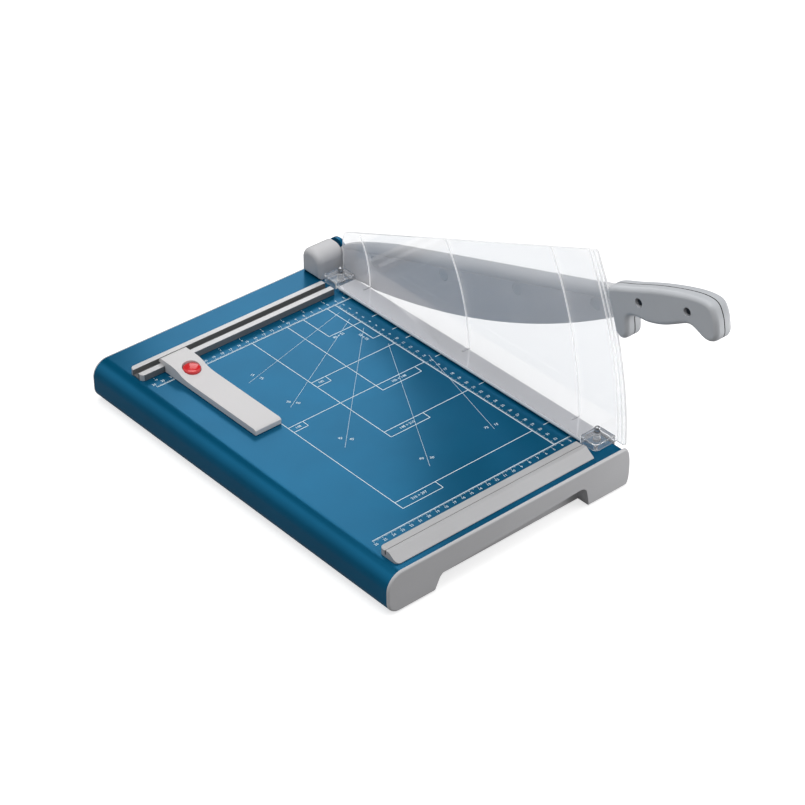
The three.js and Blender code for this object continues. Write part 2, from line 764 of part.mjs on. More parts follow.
// Front rail: the same strip with a slit behind a crest and a slope towards the operator
function frontRail() {
  const start = -frontRailBack;
  const slit = start + frontStrip;
  const crest = slit + frontSlit;
  const high = railTop + frontRailRise;
  const low = tableHeight + frontSlitFloor;
  const toe = crest + frontCrest + frontSlope;
  const profile = outline([
    [start, onTable], [start, railTop, railEdge], [slit, railTop, railEdge], [slit, low],
    [crest, low], [crest, high, railEdge], [crest + frontCrest, high, 2 * railEdge],
    [toe, onTable + 2 * seat], [toe, onTable],
  ]);
  const body = solid(sideCut(profile, railRight, railLength, 0, 3)).intersect(railPlan(-toe, frontRailBack));
  return without(body, railHoles(railScrews.filter((place) => place.y < 0)));
}
piece('front_rail', frontRail(), finishes.railPlastic);

railScrews.forEach((place, i) => {
  const length = sheetGauge + 2 * seat + railScrewBite;
  piece(`rail_screw_${i + 1}`, screw(place, up, screwShank, length, screwHead, screwHeadHigh),
    finishes.zincSteel);
});

// Backstop: hollow arm that bridges the back rail's front strip and hooks into its groove
const stopTop = tableHeight + stopArmHigh;
const headLine = stopHeadShares.map(([along, share]) => [
  along * stopHeadLong, stopTop + share * (stopHeadHigh - stopArmHigh),
]);

function backstopArm() {
  const body = solid(sideCut(outline([
    [stopReach, stopLow], [stopReach, stopTop - stopTipDrop], [stopReach - stopTipRun, stopTop],
    ...headLine, [-stopHookReach, railClear], [running, railClear], [running, stopLow],
  ]), stopFace, stopWide, stopRounding));
  const hook = solid(block(stopLeft + stopRounding, stopFace - stopRounding,
    stopHookReach - stopHookThick, stopHookReach, tableHeight + stopHookFoot, railClear + stopRounding));
  const roof = headLine.filter(([along]) => along > 0 && along < stopCavityLong)
    .map(([along, z]) => [along, z - stopWall]);
  const rearWall = stopWall + running;
  const cavity = solid(sideCut(outline([
    [-overrun, stopLow - overrun], [stopCavityLong, stopLow - overrun],
    [stopCavityLong, stopTop - stopWall + running], ...roof,
    [rearWall, roof.at(-1)[1]], [rearWall, railClear], [-overrun, railClear],
  ]), stopFace - stopWall, stopWide - 2 * stopWall));
  const buttonHole = bore(buttonRadius + seat, stopHeadHigh, up, at(stopMiddle, -buttonAt, onTable), 22);
  return without(body.add(hook), [cavity, buttonHole]);
}
piece('backstop_arm', backstopArm(), finishes.palePlastic);

// Jaw: plate inside the arm whose lip grips the rail's front face
function backstopJaw() {
  const x0 = stopLeft + stopWall + 2 * running;
  const x1 = stopFace - stopWall - 2 * running;
  const lipBack = -2 * running;
  const plate = solid(block(x0, x1, lipBack - jawLong, lipBack, stopLow, stopLow + jawThick));
  const lip = solid(block(x0, x1, lipBack - jawLip, lipBack, stopLow, tableHeight + jawHigh));
  return plate.add(lip);
}
piece('backstop_jaw', backstopJaw(), finishes.zincSteel);

// Release button: hollow dome kept in by a flange, with its return spring on the jaw
const dome = spread(6, 0, Math.PI / 2).map((angle) => [
  buttonRadius * Math.cos(angle),
  buttonShoulder + (buttonCrown - buttonShoulder) * Math.sin(angle),
]);
const buttonRoof = buttonCrown - buttonTop;
piece('release_button', turned([
  [0, buttonRoof], [buttonRadius - buttonWall, buttonRoof], [buttonRadius - buttonWall, buttonFoot],
  [buttonRadius + buttonFlange, buttonFoot], [buttonRadius + buttonFlange, buttonFoot + buttonFlangeHigh],
  [buttonRadius, buttonFoot + buttonFlangeHigh], ...dome.slice(0, -1), [0, buttonCrown],
], up, at(stopMiddle, -buttonAt, tableHeight), 22), finishes.redPlastic);

const buttonSpringFoot = stopFloor + jawThick + seat;
piece('button_spring', coil('button_spring', buttonSpringRadius, buttonSpringWire, buttonSpringTurns,
  buttonRoof - seat - buttonSpringFoot,
  at(stopMiddle, -buttonAt, tableHeight + buttonSpringFoot)), finishes.zincSteel);

// Pivot bracket: bent steel fork with a leg inside the flange and a painted cheek outside the arm
function pivotBracket() {
  const cheekOuter = cheekInner + bracketGauge;
  const crown = pivotHeight + cheekCrown;
  const half = (bracketBack - bracketFront) / 2;
  const cheek = new THREE.Shape();
  cheek.moveTo(-bracketBack, bracketFoot);
  cheek.lineTo(-bracketFront, bracketFoot);
  cheek.lineTo(-bracketFront, crown);
  cheek.absarc(-bracketFront - half, crown, half, 0, Math.PI, false);
  cheek.closePath();
  const legs = [
    solid(block(legLeft, cheekOuter, bracketFront, bracketBack, bracketFoot, bracketFoot + bracketGauge)),
    solid(block(legLeft, legRight, bracketFront, bracketBack, bracketFoot, bracketLegTop)),
    solid(rod(legEye, bracketGauge, right, at(legLeft, pivotBack, pivotHeight), 20)),
    solid(sideCut(cheek, cheekOuter, bracketGauge, 0, 10)),
  ];
  const cuts = [bore(boltRadius + holeGap, cheekOuter - legLeft, right,
    at(legLeft, pivotBack, pivotHeight), 20)];
  for (const y of bracketScrewYs) {
    cuts.push(bore(screwShank + holeGap, bracketGauge, right, at(legLeft, y, bracketScrewZ), 10));
  }
  return without(union(legs), cuts);
}
piece('pivot_bracket', pivotBracket(), finishes.bluePaint);

bracketScrewYs.forEach((y, i) => {
  const base = at(sheetOut + seat, y, bracketScrewZ);
  const length = base.x - legLeft + screwTail;
  piece(`bracket_screw_${i + 1}`, screw(base, left, screwShank, length, screwHead, screwHeadHigh),
    finishes.zincSteel);
});

// Pivot bolt, flanged bush, washer, disc springs and lock nut
const onPivot = (x) => at(x, pivotBack, pivotHeight);
const boltHeadAt = cheekInner + bracketGauge + seat;
const bushBore = boltRadius + seat;
const bushRadius = bushBore + bushWall;
const bushAt = sheetOut + seat;
piece('pivot_bolt', solid(hexagon(boltHeadAcross, boltHeadHigh, right, onPivot(boltHeadAt)))
  .add(solid(rod(boltRadius, boltHeadAt - boltEnd + overrun, right, onPivot(boltEnd), 20))),
finishes.zincSteel);

piece('pivot_bush', turned([
  [bushBore, 0], [bushFlange, 0], [bushFlange, bushFlangeThick], [bushRadius, bushFlangeThick],
  [bushRadius, bushEnd - bushAt], [bushBore, bushEnd - bushAt], [bushBore, 0],
], right, onPivot(bushAt), 20), finishes.bronze);

piece('thrust_washer', tube(stackRadius, bushBore, washerThick, left, onPivot(washerAt), 18),
  finishes.zincSteel);

const discThick = discSpringHigh / 4;
piece('disc_springs', turned([
  [bushBore, 0], [stackRadius, discThick], [stackRadius, discSpringHigh - discThick],
  [bushBore, discSpringHigh], [bushBore, discSpringHigh - discThick],
  [stackRadius - discThick, discSpringHigh / 2], [bushBore, discThick], [bushBore, 0],
], left, onPivot(springAt), 16), finishes.zincSteel);

piece('lock_nut', solid(hexagon(nutAcross, nutHigh, left, onPivot(nutAt)))
  .subtract(bore(boltRadius + seat, nutHigh, left, onPivot(nutAt), 20)), finishes.zincSteel);

// Pivot cover: moulded hood over the bolt's tail, open below and at the bolt
function pivotCover() {
  const crown = onTable + coverHigh;
  const hood = (inset, foot) => outline([
    [-coverFront - inset, foot], [-coverFront - inset, crown - inset, coverCrown - inset],
    [-coverBack + inset, crown - inset, coverCrown - inset], [-coverBack + inset, foot],
  ]);
  const shell = solid(sideCut(hood(0, onTable - coverRounding), coverRight + coverRounding,
    coverLong + coverRounding, coverRounding, 5));
  const trims = [
    solid(block(coverRight, coverRight + 2 * coverRounding, coverFront - overrun, coverBack + overrun,
      0, crown + overrun)),
    solid(block(coverRight - coverLong - overrun, coverRight + overrun, coverFront - overrun,
      coverBack + overrun, 0, onTable)),
  ];
  const hollow = solid(sideCut(hood(coverWall, tableHeight), coverRight - coverWall,
    coverLong - 2 * coverWall, 0, 5));
  const gate = solid(rod(bushFlange + 2 * running, coverWall + 2 * overrun, left,
    onPivot(coverRight + overrun), 24));
  return without(shell, [...trims, hollow, gate]);
}
piece('pivot_cover', pivotCover(), finishes.greyPlastic);

// Lever parts are drawn closed about the pivot, and the lever group carries them open
function arcUp(radius, rise) {
  return Math.sqrt(radius * radius - rise * rise);
}

const bellyCentre = bellyRadius - bellyDrop;
function bellyLine(offset, from, reach, count) {
  const radius = bellyRadius - offset;
  const points = spread(count, from, reach).map((along) => [
    along, bellyCentre - Math.sqrt(radius * radius - (along - bellyAt) ** 2),
  ]);
  const [, lastRise] = points.pop();
  points.push([arcUp(reach, lastRise), lastRise]);
  return points;
}

const bladeScrewPlaces = spread(bladeScrewCount, bladeScrewFirst, bladeScrewLast)
  .map((along) => at(bladeScrewSeat, -along, bladeScrewRise));

// Blade arm: steel bar with the pivot eye at its rear, a seat for the blade and a tang for the handle
const armSteps = 14;
function bladeArm() {
  const shape = new THREE.Shape();
  shape.moveTo(arcUp(armEnd, armTop), armTop);
  const heel = heelShares.map(([along, share]) => new THREE.Vector2(along * armHeel, share * armTop));
  shape.lineTo(heel[0].x, heel[0].y);
  shape.splineThru(heel.slice(1));
  shape.absarc(0, 0, eyeRadius, Math.PI / 3, 3 * Math.PI / 2, false);
  const lower = bellyLine(armSetback, heelFoot, armEnd, armSteps);
  shape.quadraticCurveTo(heelFoot * heelCurveShare, -eyeRadius, lower[0][0], lower[0][1]);
  for (const [along, rise] of lower.slice(1)) {
    shape.lineTo(along, rise);
  }
  shape.closePath();
  const bar = solid(sideCut(shape, armGap + armThick, armThick, armRounding, 5));
  const clearances = [
    solid(rod(eyeReach, armThick, right, at(armGap + eyeThick, 0, 0), 40)),
    bore(bushRadius + seat, armThick, right, at(armGap, 0, 0), 24),
    solid(block(armGap - overrun, planeGap + knifeThick + seat, -armEnd - overrun, -knifeBack + seat,
      -bellyDrop, knifeTop + seat)),
  ];
  for (const place of bladeScrewPlaces) {
    clearances.push(solid(rod(bladeScrewShank + seat, bladeScrewEnd + seat, right,
      at(0, place.y, place.z), 16)));
  }
  const tang = solid(block(armGap, armGap + tangThick, -tangEnd, -tangRoot, tangFoot, tangTop));
  const tangHoles = handleScrewAt.map((along) => bore(handleScrewShank + seat, tangThick, right,
    at(armGap, -along, handleScrewRise), 14));
  return without(without(bar, clearances).add(tang), tangHoles);
}
piece('blade_arm', bladeArm(), finishes.armGrey, lever);

// Blade: flat steel, its curved edge ground on the outer side only
const bellySteps = 22;
const tipSteps = 4;
function bladeFace(setback) {
  const points = bellyLine(setback, knifeBack, knifeEnd, bellySteps);
  const [, corner] = points.at(-1);
  for (const rise of spread(tipSteps, corner, knifeTop).slice(1)) {
    points.push([arcUp(knifeEnd, rise), rise]);
  }
  points.push([knifeBack, knifeTop]);
  return points;
}

function blade() {
  const inner = bladeFace(0);
  const outer = bladeFace(grindWidth);
  const count = inner.length;
  const positions = [];
  for (const [along, rise] of inner) {
    positions.push(planeGap, -along, rise);
  }
  for (const [along, rise] of outer) {
    positions.push(planeGap + knifeThick, -along, rise);
  }
  const index = [];
  const contour = inner.map(([along, rise]) => new THREE.Vector2(along, rise));
  for (const [a, b, c] of THREE.ShapeUtils.triangulateShape(contour, [])) {
    index.push(a, b, c);
    index.push(a + count, c + count, b + count);
  }
  for (let i = 0; i < count; i += 1) {
    const j = (i + 1) % count;
    index.push(i, i + count, j);
    index.push(j, i + count, j + count);
  }
  const geometry = new THREE.BufferGeometry();
  geometry.setAttribute('position', new THREE.Float32BufferAttribute(positions, 3));
  geometry.setIndex(index);
  const cuts = bladeScrewPlaces.flatMap((place) => [
    solid(rod(bladeScrewHead + seat, bladeScrewHeadHigh + overrun + seat, left,
      at(bladeScrewSeat + seat, place.y, place.z), 24)),
    bore(bladeScrewShank + seat, knifeThick, right, at(planeGap, place.y, place.z), 16),
  ]);
  return without(solid(geometry), cuts);
}
piece('blade', blade(), finishes.toolSteel, lever);

bladeScrewPlaces.forEach((place, i) => {
  const head = bladeScrewHeadHigh - seat / 2;
  const length = bladeScrewEnd - bladeScrewSeat;
  piece(`blade_screw_${i + 1}`, turned([
    [0, -head], [bladeScrewHead, -head], [bladeScrewHead, 0], [bladeScrewShank, 0],
    [bladeScrewShank, length], [0, length],
  ], right, place, 16), finishes.zincSteel, lever);
});

// Handle: two moulded halves screwed together over the tang
const gripSteps = 44;
const faceSteps = 7;
const handleRise = (share) => handleCrown - (1 - share) * handleTall;
function handleOutline() {
  const grip = new THREE.SplineCurve(handleShares.map(([along, share]) => new THREE.Vector2(
    handleFace + along * handleLength, handleRise(share),
  ))).getPoints(gripSteps);
  const face = spread(faceSteps, ...handleFaceShares.map(handleRise))
    .map((rise) => new THREE.Vector2(arcUp(handleFace, rise), rise));
  return new THREE.Shape([...face, ...grip]);
}

function handleHalf(from, to, cuts) {
  const body = solid(sideCut(handleOutline(), handleRight, handleThick, handleRounding));
  const keep = solid(block(from, to, -handleFace - handleLength - overrun, 0, -handleTall, handleTall));
  return without(body.intersect(keep), cuts);
}
const tangPocket = solid(block(armGap - seat, armGap + tangThick + seat, -tangEnd - overrun, 0,
  tangFoot - seat, tangTop + seat));
const leftCuts = handleScrewAt.flatMap((along) => [
  solid(rod(handleScrewHead + seat, handleScrewRecess + overrun, left,
    at(handleScrewSeat, -along, handleScrewRise), 20)),
  bore(handleScrewShank + seat, handleSeam - handleScrewSeat, right,
    at(handleScrewSeat, -along, handleScrewRise), 14),
]);
const rightCuts = handleScrewAt.map((along) => solid(rod(handleScrewShank + seat,
  handleScrewEnd + seat, right, at(0, -along, handleScrewRise), 14)));
piece('handle_left_half', handleHalf(handleLeft - overrun, handleSeam, [tangPocket, ...leftCuts]),
  finishes.handlePlastic, lever);
piece('handle_right_half', handleHalf(handleSeam + seat, handleRight + overrun, [tangPocket, ...rightCuts]),
  finishes.handlePlastic, lever);

handleScrewAt.forEach((along, i) => {
  const base = at(handleScrewSeat - seat, -along, handleScrewRise);
  piece(`handle_screw_${i + 1}`, screw(base, right, handleScrewShank, handleScrewEnd - base.x,
    handleScrewHead, handleScrewHeadHigh, 14), finishes.zincSteel, lever);
});

// Guard: one clear moulding with an upright shield, ribs, a clamping flange and two pin blocks
const guardTop = (along) => tableHeight + guardTopRise + guardTopSlope * (along - guardTopAt);
const guardSteps = 13;
function guardOutline() {
  const offset = guardTop(-pivotBack) - pivotHeight;
  const square = 1 + guardTopSlope ** 2;
  const mixed = guardTopSlope * offset;
  const reach = (Math.sqrt(mixed ** 2 - square * (offset ** 2 - guardEdge ** 2)) - mixed) / square;
  const high = Math.atan2(guardTopSlope * reach + offset, reach);
  const low = Math.asin((flangeUnder - pivotHeight) / guardEdge);
  const near = spread(guardSteps, high, low).map((angle) => [
    guardEdge * Math.cos(angle) - pivotBack, guardEdge * Math.sin(angle) + pivotHeight,
  ]);
  near[0].push(guardNearCorner);
  near.at(-1).push(guardNearCorner);
  return outline([
    [-guardBack, flangeUnder], [-guardBack, guardTop(-guardBack), guardBackCorner], ...near,
  ]);
}

function arcRib(radius) {
  const shape = new THREE.Shape();
  const low = Math.asin((flangeTop - seat - pivotHeight) / radius);
  const high = Math.PI / 4;
  shape.absarc(-pivotBack, pivotHeight, radius + ribWide / 2, low, high, false);
  shape.absarc(-pivotBack, pivotHeight, radius - ribWide / 2, high, low, true);
  shape.closePath();
  return solid(sideCut(shape, guardInner + seat, ribProud + seat, 0, 9));
}

function ribFootAt(along) {
  return solid(block(guardInner - ribFoot, guardInner + seat, -along - ribWide / 2, -along + ribWide / 2,
    flangeTop - seat, flangeTop + ribProud));
}

function shortRib() {
  const shape = new THREE.Shape();
  const foot = flangeTop - seat;
  const half = ribWide / 2;
  const bend = foot + shortRibHigh * heelCurveShare;
  const head = foot + shortRibHigh;
  shape.moveTo(shortRibAt - half, foot);
  shape.lineTo(shortRibAt + half, foot);
  shape.quadraticCurveTo(shortRibAt + half, bend, shortRibAt - shortRibLean + half, head);
  shape.lineTo(shortRibAt - shortRibLean - half, head);
  shape.quadraticCurveTo(shortRibAt - half, bend, shortRibAt - half, foot);
  return solid(sideCut(shape, guardInner + seat, ribProud + seat));
}

function pinBlock(backY, frontY, backCorner, frontCorner, pinY) {
  const shell = solid(planCut(outline([
    [-guardGap, frontY, running], [-guardGap, backY, running],
    [blockLeft, backY, backCorner], [blockLeft, frontY, frontCorner],
  ]), clampUnder, blockHigh));
  const hollow = solid(block(blockLeft + blockWall, guardInner, frontY + blockWall, backY - blockWall,
    clampUnder - overrun, blockTop - blockWall));
  return without(shell, [hollow, bore(pinRadius + running, blockHigh, up, at(pinAt, pinY, clampUnder), 20)]);
}

function guardShield() {
  const panel = solid(sideCut(guardOutline(), -guardGap, guardGauge));
  const limits = solid(sideCut(guardOutline(), -guardGap, guardGauge + 2 * ribProud));
  const flange = solid(block(flangeLeft, -guardGap, frontBlockBack - overrun, rearBlockFront + overrun,
    flangeUnder, flangeTop));
  const ribs = [...ribRadii, ...edgeRibInsets.map((inset) => guardEdge - inset)].map(arcRib);
  const feet = ribRadii.map((radius) => ribFootAt(arcUp(radius, flangeTop - pivotHeight) - pivotBack));
  return union([
    panel, flange, ...[...ribs, shortRib()].map((rib) => rib.intersect(limits)),
    ...feet, ribFootAt(shortRibAt),
    pinBlock(rearBlockBack, rearBlockFront, blockCorner, running, rearPinY),
    pinBlock(frontBlockBack, frontBlockFront, blockWall, blockCorner, frontPinY),
  ]);
}
piece('guard_shield', guardShield(), finishes.clear);

piece('clamp_bar', block(barLeft, barRight, barFront, barBack, clampUnder, clampUnder + barThick),
  finishes.aluminium);

// Guide pins with ball heads, their nuts under the sheet and the springs that lift the guard
const collarAt = blockTop - tableHeight + seat;
const flangeCrown = seat + pinFlangeHigh;
const springFoot = flangeCrown + seat;
const springHeight = blockTop - blockWall - seat - tableHeight - springFoot;
const ballStart = Math.asin(pinNeck / pinBall);
const ball = spread(5, -Math.PI / 2 + ballStart, Math.PI / 2).map((angle) => [
  pinBall * Math.cos(angle), pinBallRise + pinBall * Math.sin(angle),
]);
pinPlaces.forEach((place, i) => {
  const name = i ? 'front' : 'rear';
  piece(`${name}_guide_pin`, turned([
    [0, -pinTail], [pinRadius, -pinTail], [pinRadius, seat], [pinFlange, seat], [pinFlange, flangeCrown],
    [pinRadius, flangeCrown], [pinRadius, collarAt], [pinCollar, collarAt],
    [pinCollar, collarAt + pinCollarHigh], [pinNeck, collarAt + pinCollarHigh],
    ...ball.slice(0, -1), [0, pinBallRise + pinBall],
  ], up, place, 14), finishes.chrome);
  const nutPlace = at(place.x, place.y, sheetUnder - seat);
  piece(`${name}_pin_nut`, solid(hexagon(pinNutAcross, pinNutHigh, down, nutPlace))
    .subtract(bore(pinRadius + seat, pinNutHigh, down, nutPlace, 16)), finishes.zincSteel);
  piece(`${name}_clamp_spring`, coil(`${name}_clamp_spring`, clampSpringRadius, clampSpringWire,
    clampSpringTurns, springHeight, at(place.x, place.y, tableHeight + springFoot)), finishes.zincSteel);
});

// The frame's origin is the middle of the box around everything, at the bench
cutter.updateMatrixWorld(true);
const box = new THREE.Box3().setFromObject(cutter, true);
const middle = box.getCenter(new THREE.Vector3());
cutter.position.set(-middle.x, -middle.y, -box.min.z);
console.log('shift', cutter.position.toArray().map((value) => value.toFixed(3)).join(' '));
console.log('size', box.getSize(new THREE.Vector3()).toArray().map((value) => value.toFixed(2)).join(' '));

export default cutter;
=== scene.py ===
import json
import math

import bmesh
import bpy
from mathutils import Matrix, Vector


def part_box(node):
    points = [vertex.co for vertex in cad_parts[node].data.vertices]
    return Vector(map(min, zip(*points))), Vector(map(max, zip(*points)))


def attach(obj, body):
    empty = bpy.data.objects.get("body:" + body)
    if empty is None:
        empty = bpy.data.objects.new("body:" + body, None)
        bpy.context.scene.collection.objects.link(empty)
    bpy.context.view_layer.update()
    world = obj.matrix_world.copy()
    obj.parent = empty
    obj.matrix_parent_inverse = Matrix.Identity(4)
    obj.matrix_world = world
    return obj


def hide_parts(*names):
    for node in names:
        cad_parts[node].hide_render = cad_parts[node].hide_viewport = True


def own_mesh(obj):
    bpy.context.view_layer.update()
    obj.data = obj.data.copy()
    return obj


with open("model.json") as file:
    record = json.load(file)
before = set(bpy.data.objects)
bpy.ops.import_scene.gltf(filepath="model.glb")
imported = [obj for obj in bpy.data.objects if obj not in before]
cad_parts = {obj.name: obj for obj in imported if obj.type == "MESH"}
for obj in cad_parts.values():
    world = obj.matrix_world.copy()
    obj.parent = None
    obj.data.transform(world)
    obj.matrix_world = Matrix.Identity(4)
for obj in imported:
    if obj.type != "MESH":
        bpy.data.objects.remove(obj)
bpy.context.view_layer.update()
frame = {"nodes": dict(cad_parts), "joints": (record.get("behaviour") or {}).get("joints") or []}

# Table: one steel sheet, 1.5 mm thick, folded down at the cutting edge and rolled under at the left.
# It is powder coated blue and carries every fixed part. Sizes here are millimetres, measured right
# from the cutting plane, back from the front face of the back rail and up from the bench.
mm = 0.001
swing = next(joint for joint in frame["joints"] if joint["name"] == "lever_swing")
cutting_plane = swing["pos_m"][0]
rail_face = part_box("back_rail")[0].y
bench = Matrix.Translation((cutting_plane, rail_face, 0)) @ Matrix.Scale(mm, 4)

sheet_low, sheet_high = (bench.inverted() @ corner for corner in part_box("table_sheet"))
sheet_gauge = 1.5
table_top = sheet_high.z
nose_radius = 17
under_radius = 13
under_lip = 12
fold_radius = 2.2
flange_foot = 12
notch_left = -24.7
notch_half = 11
bolt_slot = 5.35
pivot_y = swing["pos_m"][1] / mm - rail_face / mm
pivot_z = swing["pos_m"][2] / mm

table_blue = (0.001, 0.122, 0.25)
coat_speckle = 0.0009
coat_relief = 0.00002


def front_view(across, rise, depth):
    return Vector((across, depth, rise))


def side_view(along, rise, depth):
    return Vector((depth, -along, rise))


def plan_view(across, back, depth):
    return Vector((across, back, depth))


def arc(across, rise, radius, start, end, steps=20):
    """Points on an arc; its angles are in degrees."""
    turns = [math.radians(start + (end - start) * i / steps) for i in range(steps + 1)]
    return [(across + radius * math.cos(t), rise + radius * math.sin(t)) for t in turns]


def prism(outline, view, start, end):
    """A solid with this outline, swept from start to end along the axis it is seen from."""
    bm = bmesh.new()
    face = bm.faces.new([bm.verts.new(view(a, b, start)) for a, b in outline])
    swept = bmesh.ops.extrude_face_region(bm, geom=[face])
    far = [v for v in swept["geom"] if isinstance(v, bmesh.types.BMVert)]
    bmesh.ops.translate(bm, verts=far, vec=view(0, 0, end - start) - view(0, 0, 0))
    bmesh.ops.recalc_face_normals(bm, faces=bm.faces)
    return bm


def slab(x0, x1, y0, y1, z0, z1):
    return prism([(x0, y0), (x1, y0), (x1, y1), (x0, y1)], plan_view, z0, z1)


def disc(radius, view, across, rise, start, end, steps=40):
    return prism(arc(across, rise, radius, 0, 360, steps)[:-1], view, start, end)


def combined(body, operation, *tools):
    """The body with each tool joined to it, cut from it or kept in common with it."""
    solids = []
    for bm in (body, *tools):
        mesh = bpy.data.meshes.new("shape")
        bm.to_mesh(mesh)
        bm.free()
        solids.append(bpy.data.objects.new("shape", mesh))
        bpy.context.scene.collection.objects.link(solids[-1])
    for tool in solids[1:]:
        change = solids[0].modifiers.new("change", "BOOLEAN")
        change.operation = operation
        change.solver = "EXACT"
        change.object = tool
    depsgraph = bpy.context.evaluated_depsgraph_get()
    made = bpy.data.meshes.new_from_object(solids[0].evaluated_get(depsgraph))
    result = bmesh.new()
    result.from_mesh(made)
    bpy.data.meshes.remove(made)
    for solid in solids:
        mesh = solid.data
        bpy.data.objects.remove(solid)
        bpy.data.meshes.remove(mesh)
    bmesh.ops.remove_doubles(result, verts=result.verts, dist=0.001)
    return result


def softened(bm, radius, segments=3, sharper=30, where=None):
    """Rounds the edges that turn by more than an angle, all of them or those in a place."""
    edges = [
        e for e in bm.edges
        if len(e.link_faces) == 2 and e.calc_face_angle() > math.radians(sharper)
        and (where is None or all(where(v.co) for v in e.verts))
    ]
    bmesh.ops.bevel(bm, geom=edges, offset=radius, offset_type="OFFSET", segments=segments,
                    profile=0.5, affect="EDGES", clamp_overlap=True, material=-1)
    return bm


def shown(bm, name, body, finish, stands_for=(), place=bench, smoother=35):
    """Makes the piece from its mesh in millimetres and fixes it to its body."""
    bm.transform(place)
    mesh = bpy.data.meshes.new(name)
    bm.to_mesh(mesh)
    bm.free()
    mesh.polygons.foreach_set("use_smooth", [True] * len(mesh.polygons))
    mesh.set_sharp_from_angle(angle=math.radians(smoother))
    mesh.materials.append(finish)
    piece = bpy.data.objects.new(name, mesh)
    bpy.context.scene.collection.objects.link(piece)
    shading = piece.modifiers.new("shading", "WEIGHTED_NORMAL")
    shading.keep_sharp = True
    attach(piece, body)
    if stands_for:
        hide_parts(*stands_for)
    return piece


def coating(name, colour, roughness, metallic, grain, relief, mottle=0.06, patch=0.05, **sockets):
    """A finish whose colour and gloss vary a little, over a fine moulded or sprayed grain."""
    made = bpy.data.materials.new(name)
    made.use_nodes = True
    nodes, links = made.node_tree.nodes, made.node_tree.links
    skin = nodes["Principled BSDF"]
    where = nodes.new("ShaderNodeTexCoord")
    clouds = nodes.new("ShaderNodeTexNoise")
    clouds.inputs["Scale"].default_value = 1 / patch
    clouds.inputs["Detail"].default_value = 4
    links.new(where.outputs["Object"], clouds.inputs["Vector"])
    tint = nodes.new("ShaderNodeValToRGB")
    for stop, shade in zip(tint.color_ramp.elements, (1 - mottle, 1 + mottle)):
        stop.color = (*(min(part * shade, 1) for part in colour), 1)
    tint.color_ramp.elements[0].position = 0.3
    tint.color_ramp.elements[1].position = 0.7
    links.new(clouds.outputs["Fac"], tint.inputs["Fac"])
    links.new(tint.outputs["Color"], skin.inputs["Base Color"])
    speckle = nodes.new("ShaderNodeTexNoise")
    speckle.inputs["Scale"].default_value = 1 / grain
    speckle.inputs["Detail"].default_value = 3
    links.new(where.outputs["Object"], speckle.inputs["Vector"])
    gloss = nodes.new("ShaderNodeMapRange")
    gloss.inputs["To Min"].default_value = roughness * 0.88
    gloss.inputs["To Max"].default_value = roughness * 1.12
    links.new(speckle.outputs["Fac"], gloss.inputs["Value"])
    links.new(gloss.outputs["Result"], skin.inputs["Roughness"])
    bump = nodes.new("ShaderNodeBump")
    bump.inputs["Distance"].default_value = relief
    bump.inputs["Strength"].default_value = 0.6
    links.new(speckle.outputs["Fac"], bump.inputs["Height"])
    links.new(bump.outputs["Normal"], skin.inputs["Normal"])
    skin.inputs["Metallic"].default_value = metallic
    for socket, value in sockets.items():
        skin.inputs[socket.replace("_", " ")].default_value = value
    return made


blue_coat = coating("blue_powder_coat", table_blue, 0.24, 0.5, coat_speckle, coat_relief, IOR=1.3)


def nose(inset):
    """The rolled left edge from the flat top to the end of its lip, inset into the sheet."""
    upper = sheet_low.x + nose_radius
    lower = sheet_low.x + under_radius
    foot = sheet_low.z + under_radius
    return [
        *arc(upper, table_top - nose_radius, nose_radius - inset, 90, 180),
        *arc(lower, foot, under_radius - inset, 180, 270),
        (lower + under_lip, sheet_low.z + inset),
    ]


def fold(inset):
    """The fold at the cutting edge, from the flange's foot to the flat top."""
    centre = sheet_high.x - fold_radius
    return [
        (sheet_high.x - inset, flange_foot),
        *arc(centre, table_top - fold_radius, fold_radius - inset, 0, 90, 6),
    ]


sheet = prism([*fold(0), *nose(0), *reversed(nose(sheet_gauge)), *reversed(fold(sheet_gauge))],
              front_view, sheet_low.y, sheet_high.y)
sheet = combined(
    sheet, "DIFFERENCE",
    slab(notch_left, sheet_high.x - sheet_gauge, pivot_y - notch_half, pivot_y + notch_half, 38, 45),
    slab(sheet_high.x - 3, sheet_high.x + 3, pivot_y - bolt_slot, pivot_y + bolt_slot, pivot_z, 45),
    disc(bolt_slot, side_view, -pivot_y, pivot_z, sheet_high.x - 3, sheet_high.x + 3))
shown(sheet, "folded_table", "base", blue_coat, ["table_sheet"])

# Printing on the table: white ink scales in centimetres and inches, lines for standard paper sizes
# and a fan of angles. It is screen printed on the coat, and only plain numbers are lettered.
ink_foot = table_top + 0.01
ink_high = table_top + 0.035
scale_line = 0.62
tick_line = 0.26
fan_line = 0.24
scale_back = -15.5
scale_front = -325.5
ruler_x = -45
scale_left = -260
scale_right = -24
figures_back = -10.2
figures_front = -331.2
numeral = 2.8
size_numeral = 3
inch = 25.4
inch_line = -0.8
inch_tick = -2.6
inch_figures = -5.2
edge_mark = -31

white_ink = coating("white_ink", (0.86, 0.93, 0.95), 0.5, 0, 0.0006, 0.00001, mottle=0.04)
printing = bmesh.new()


def stroke(x0, y0, x1, y1, width):
    """A printed line of this width between two places."""
    run = Vector((x1 - x0, y1 - y0))
    side = Vector((-run.y, run.x)).normalized() * width / 2
    corners = [(x0 - side.x, y0 - side.y), (x1 - side.x, y1 - side.y),
               (x1 + side.x, y1 + side.y), (x0 + side.x, y0 + side.y)]
    strip = prism(corners, plan_view, ink_foot, ink_high)
    mesh = bpy.data.meshes.new("stroke")
    strip.to_mesh(mesh)
    strip.free()
    printing.from_mesh(mesh)
    bpy.data.meshes.remove(mesh)


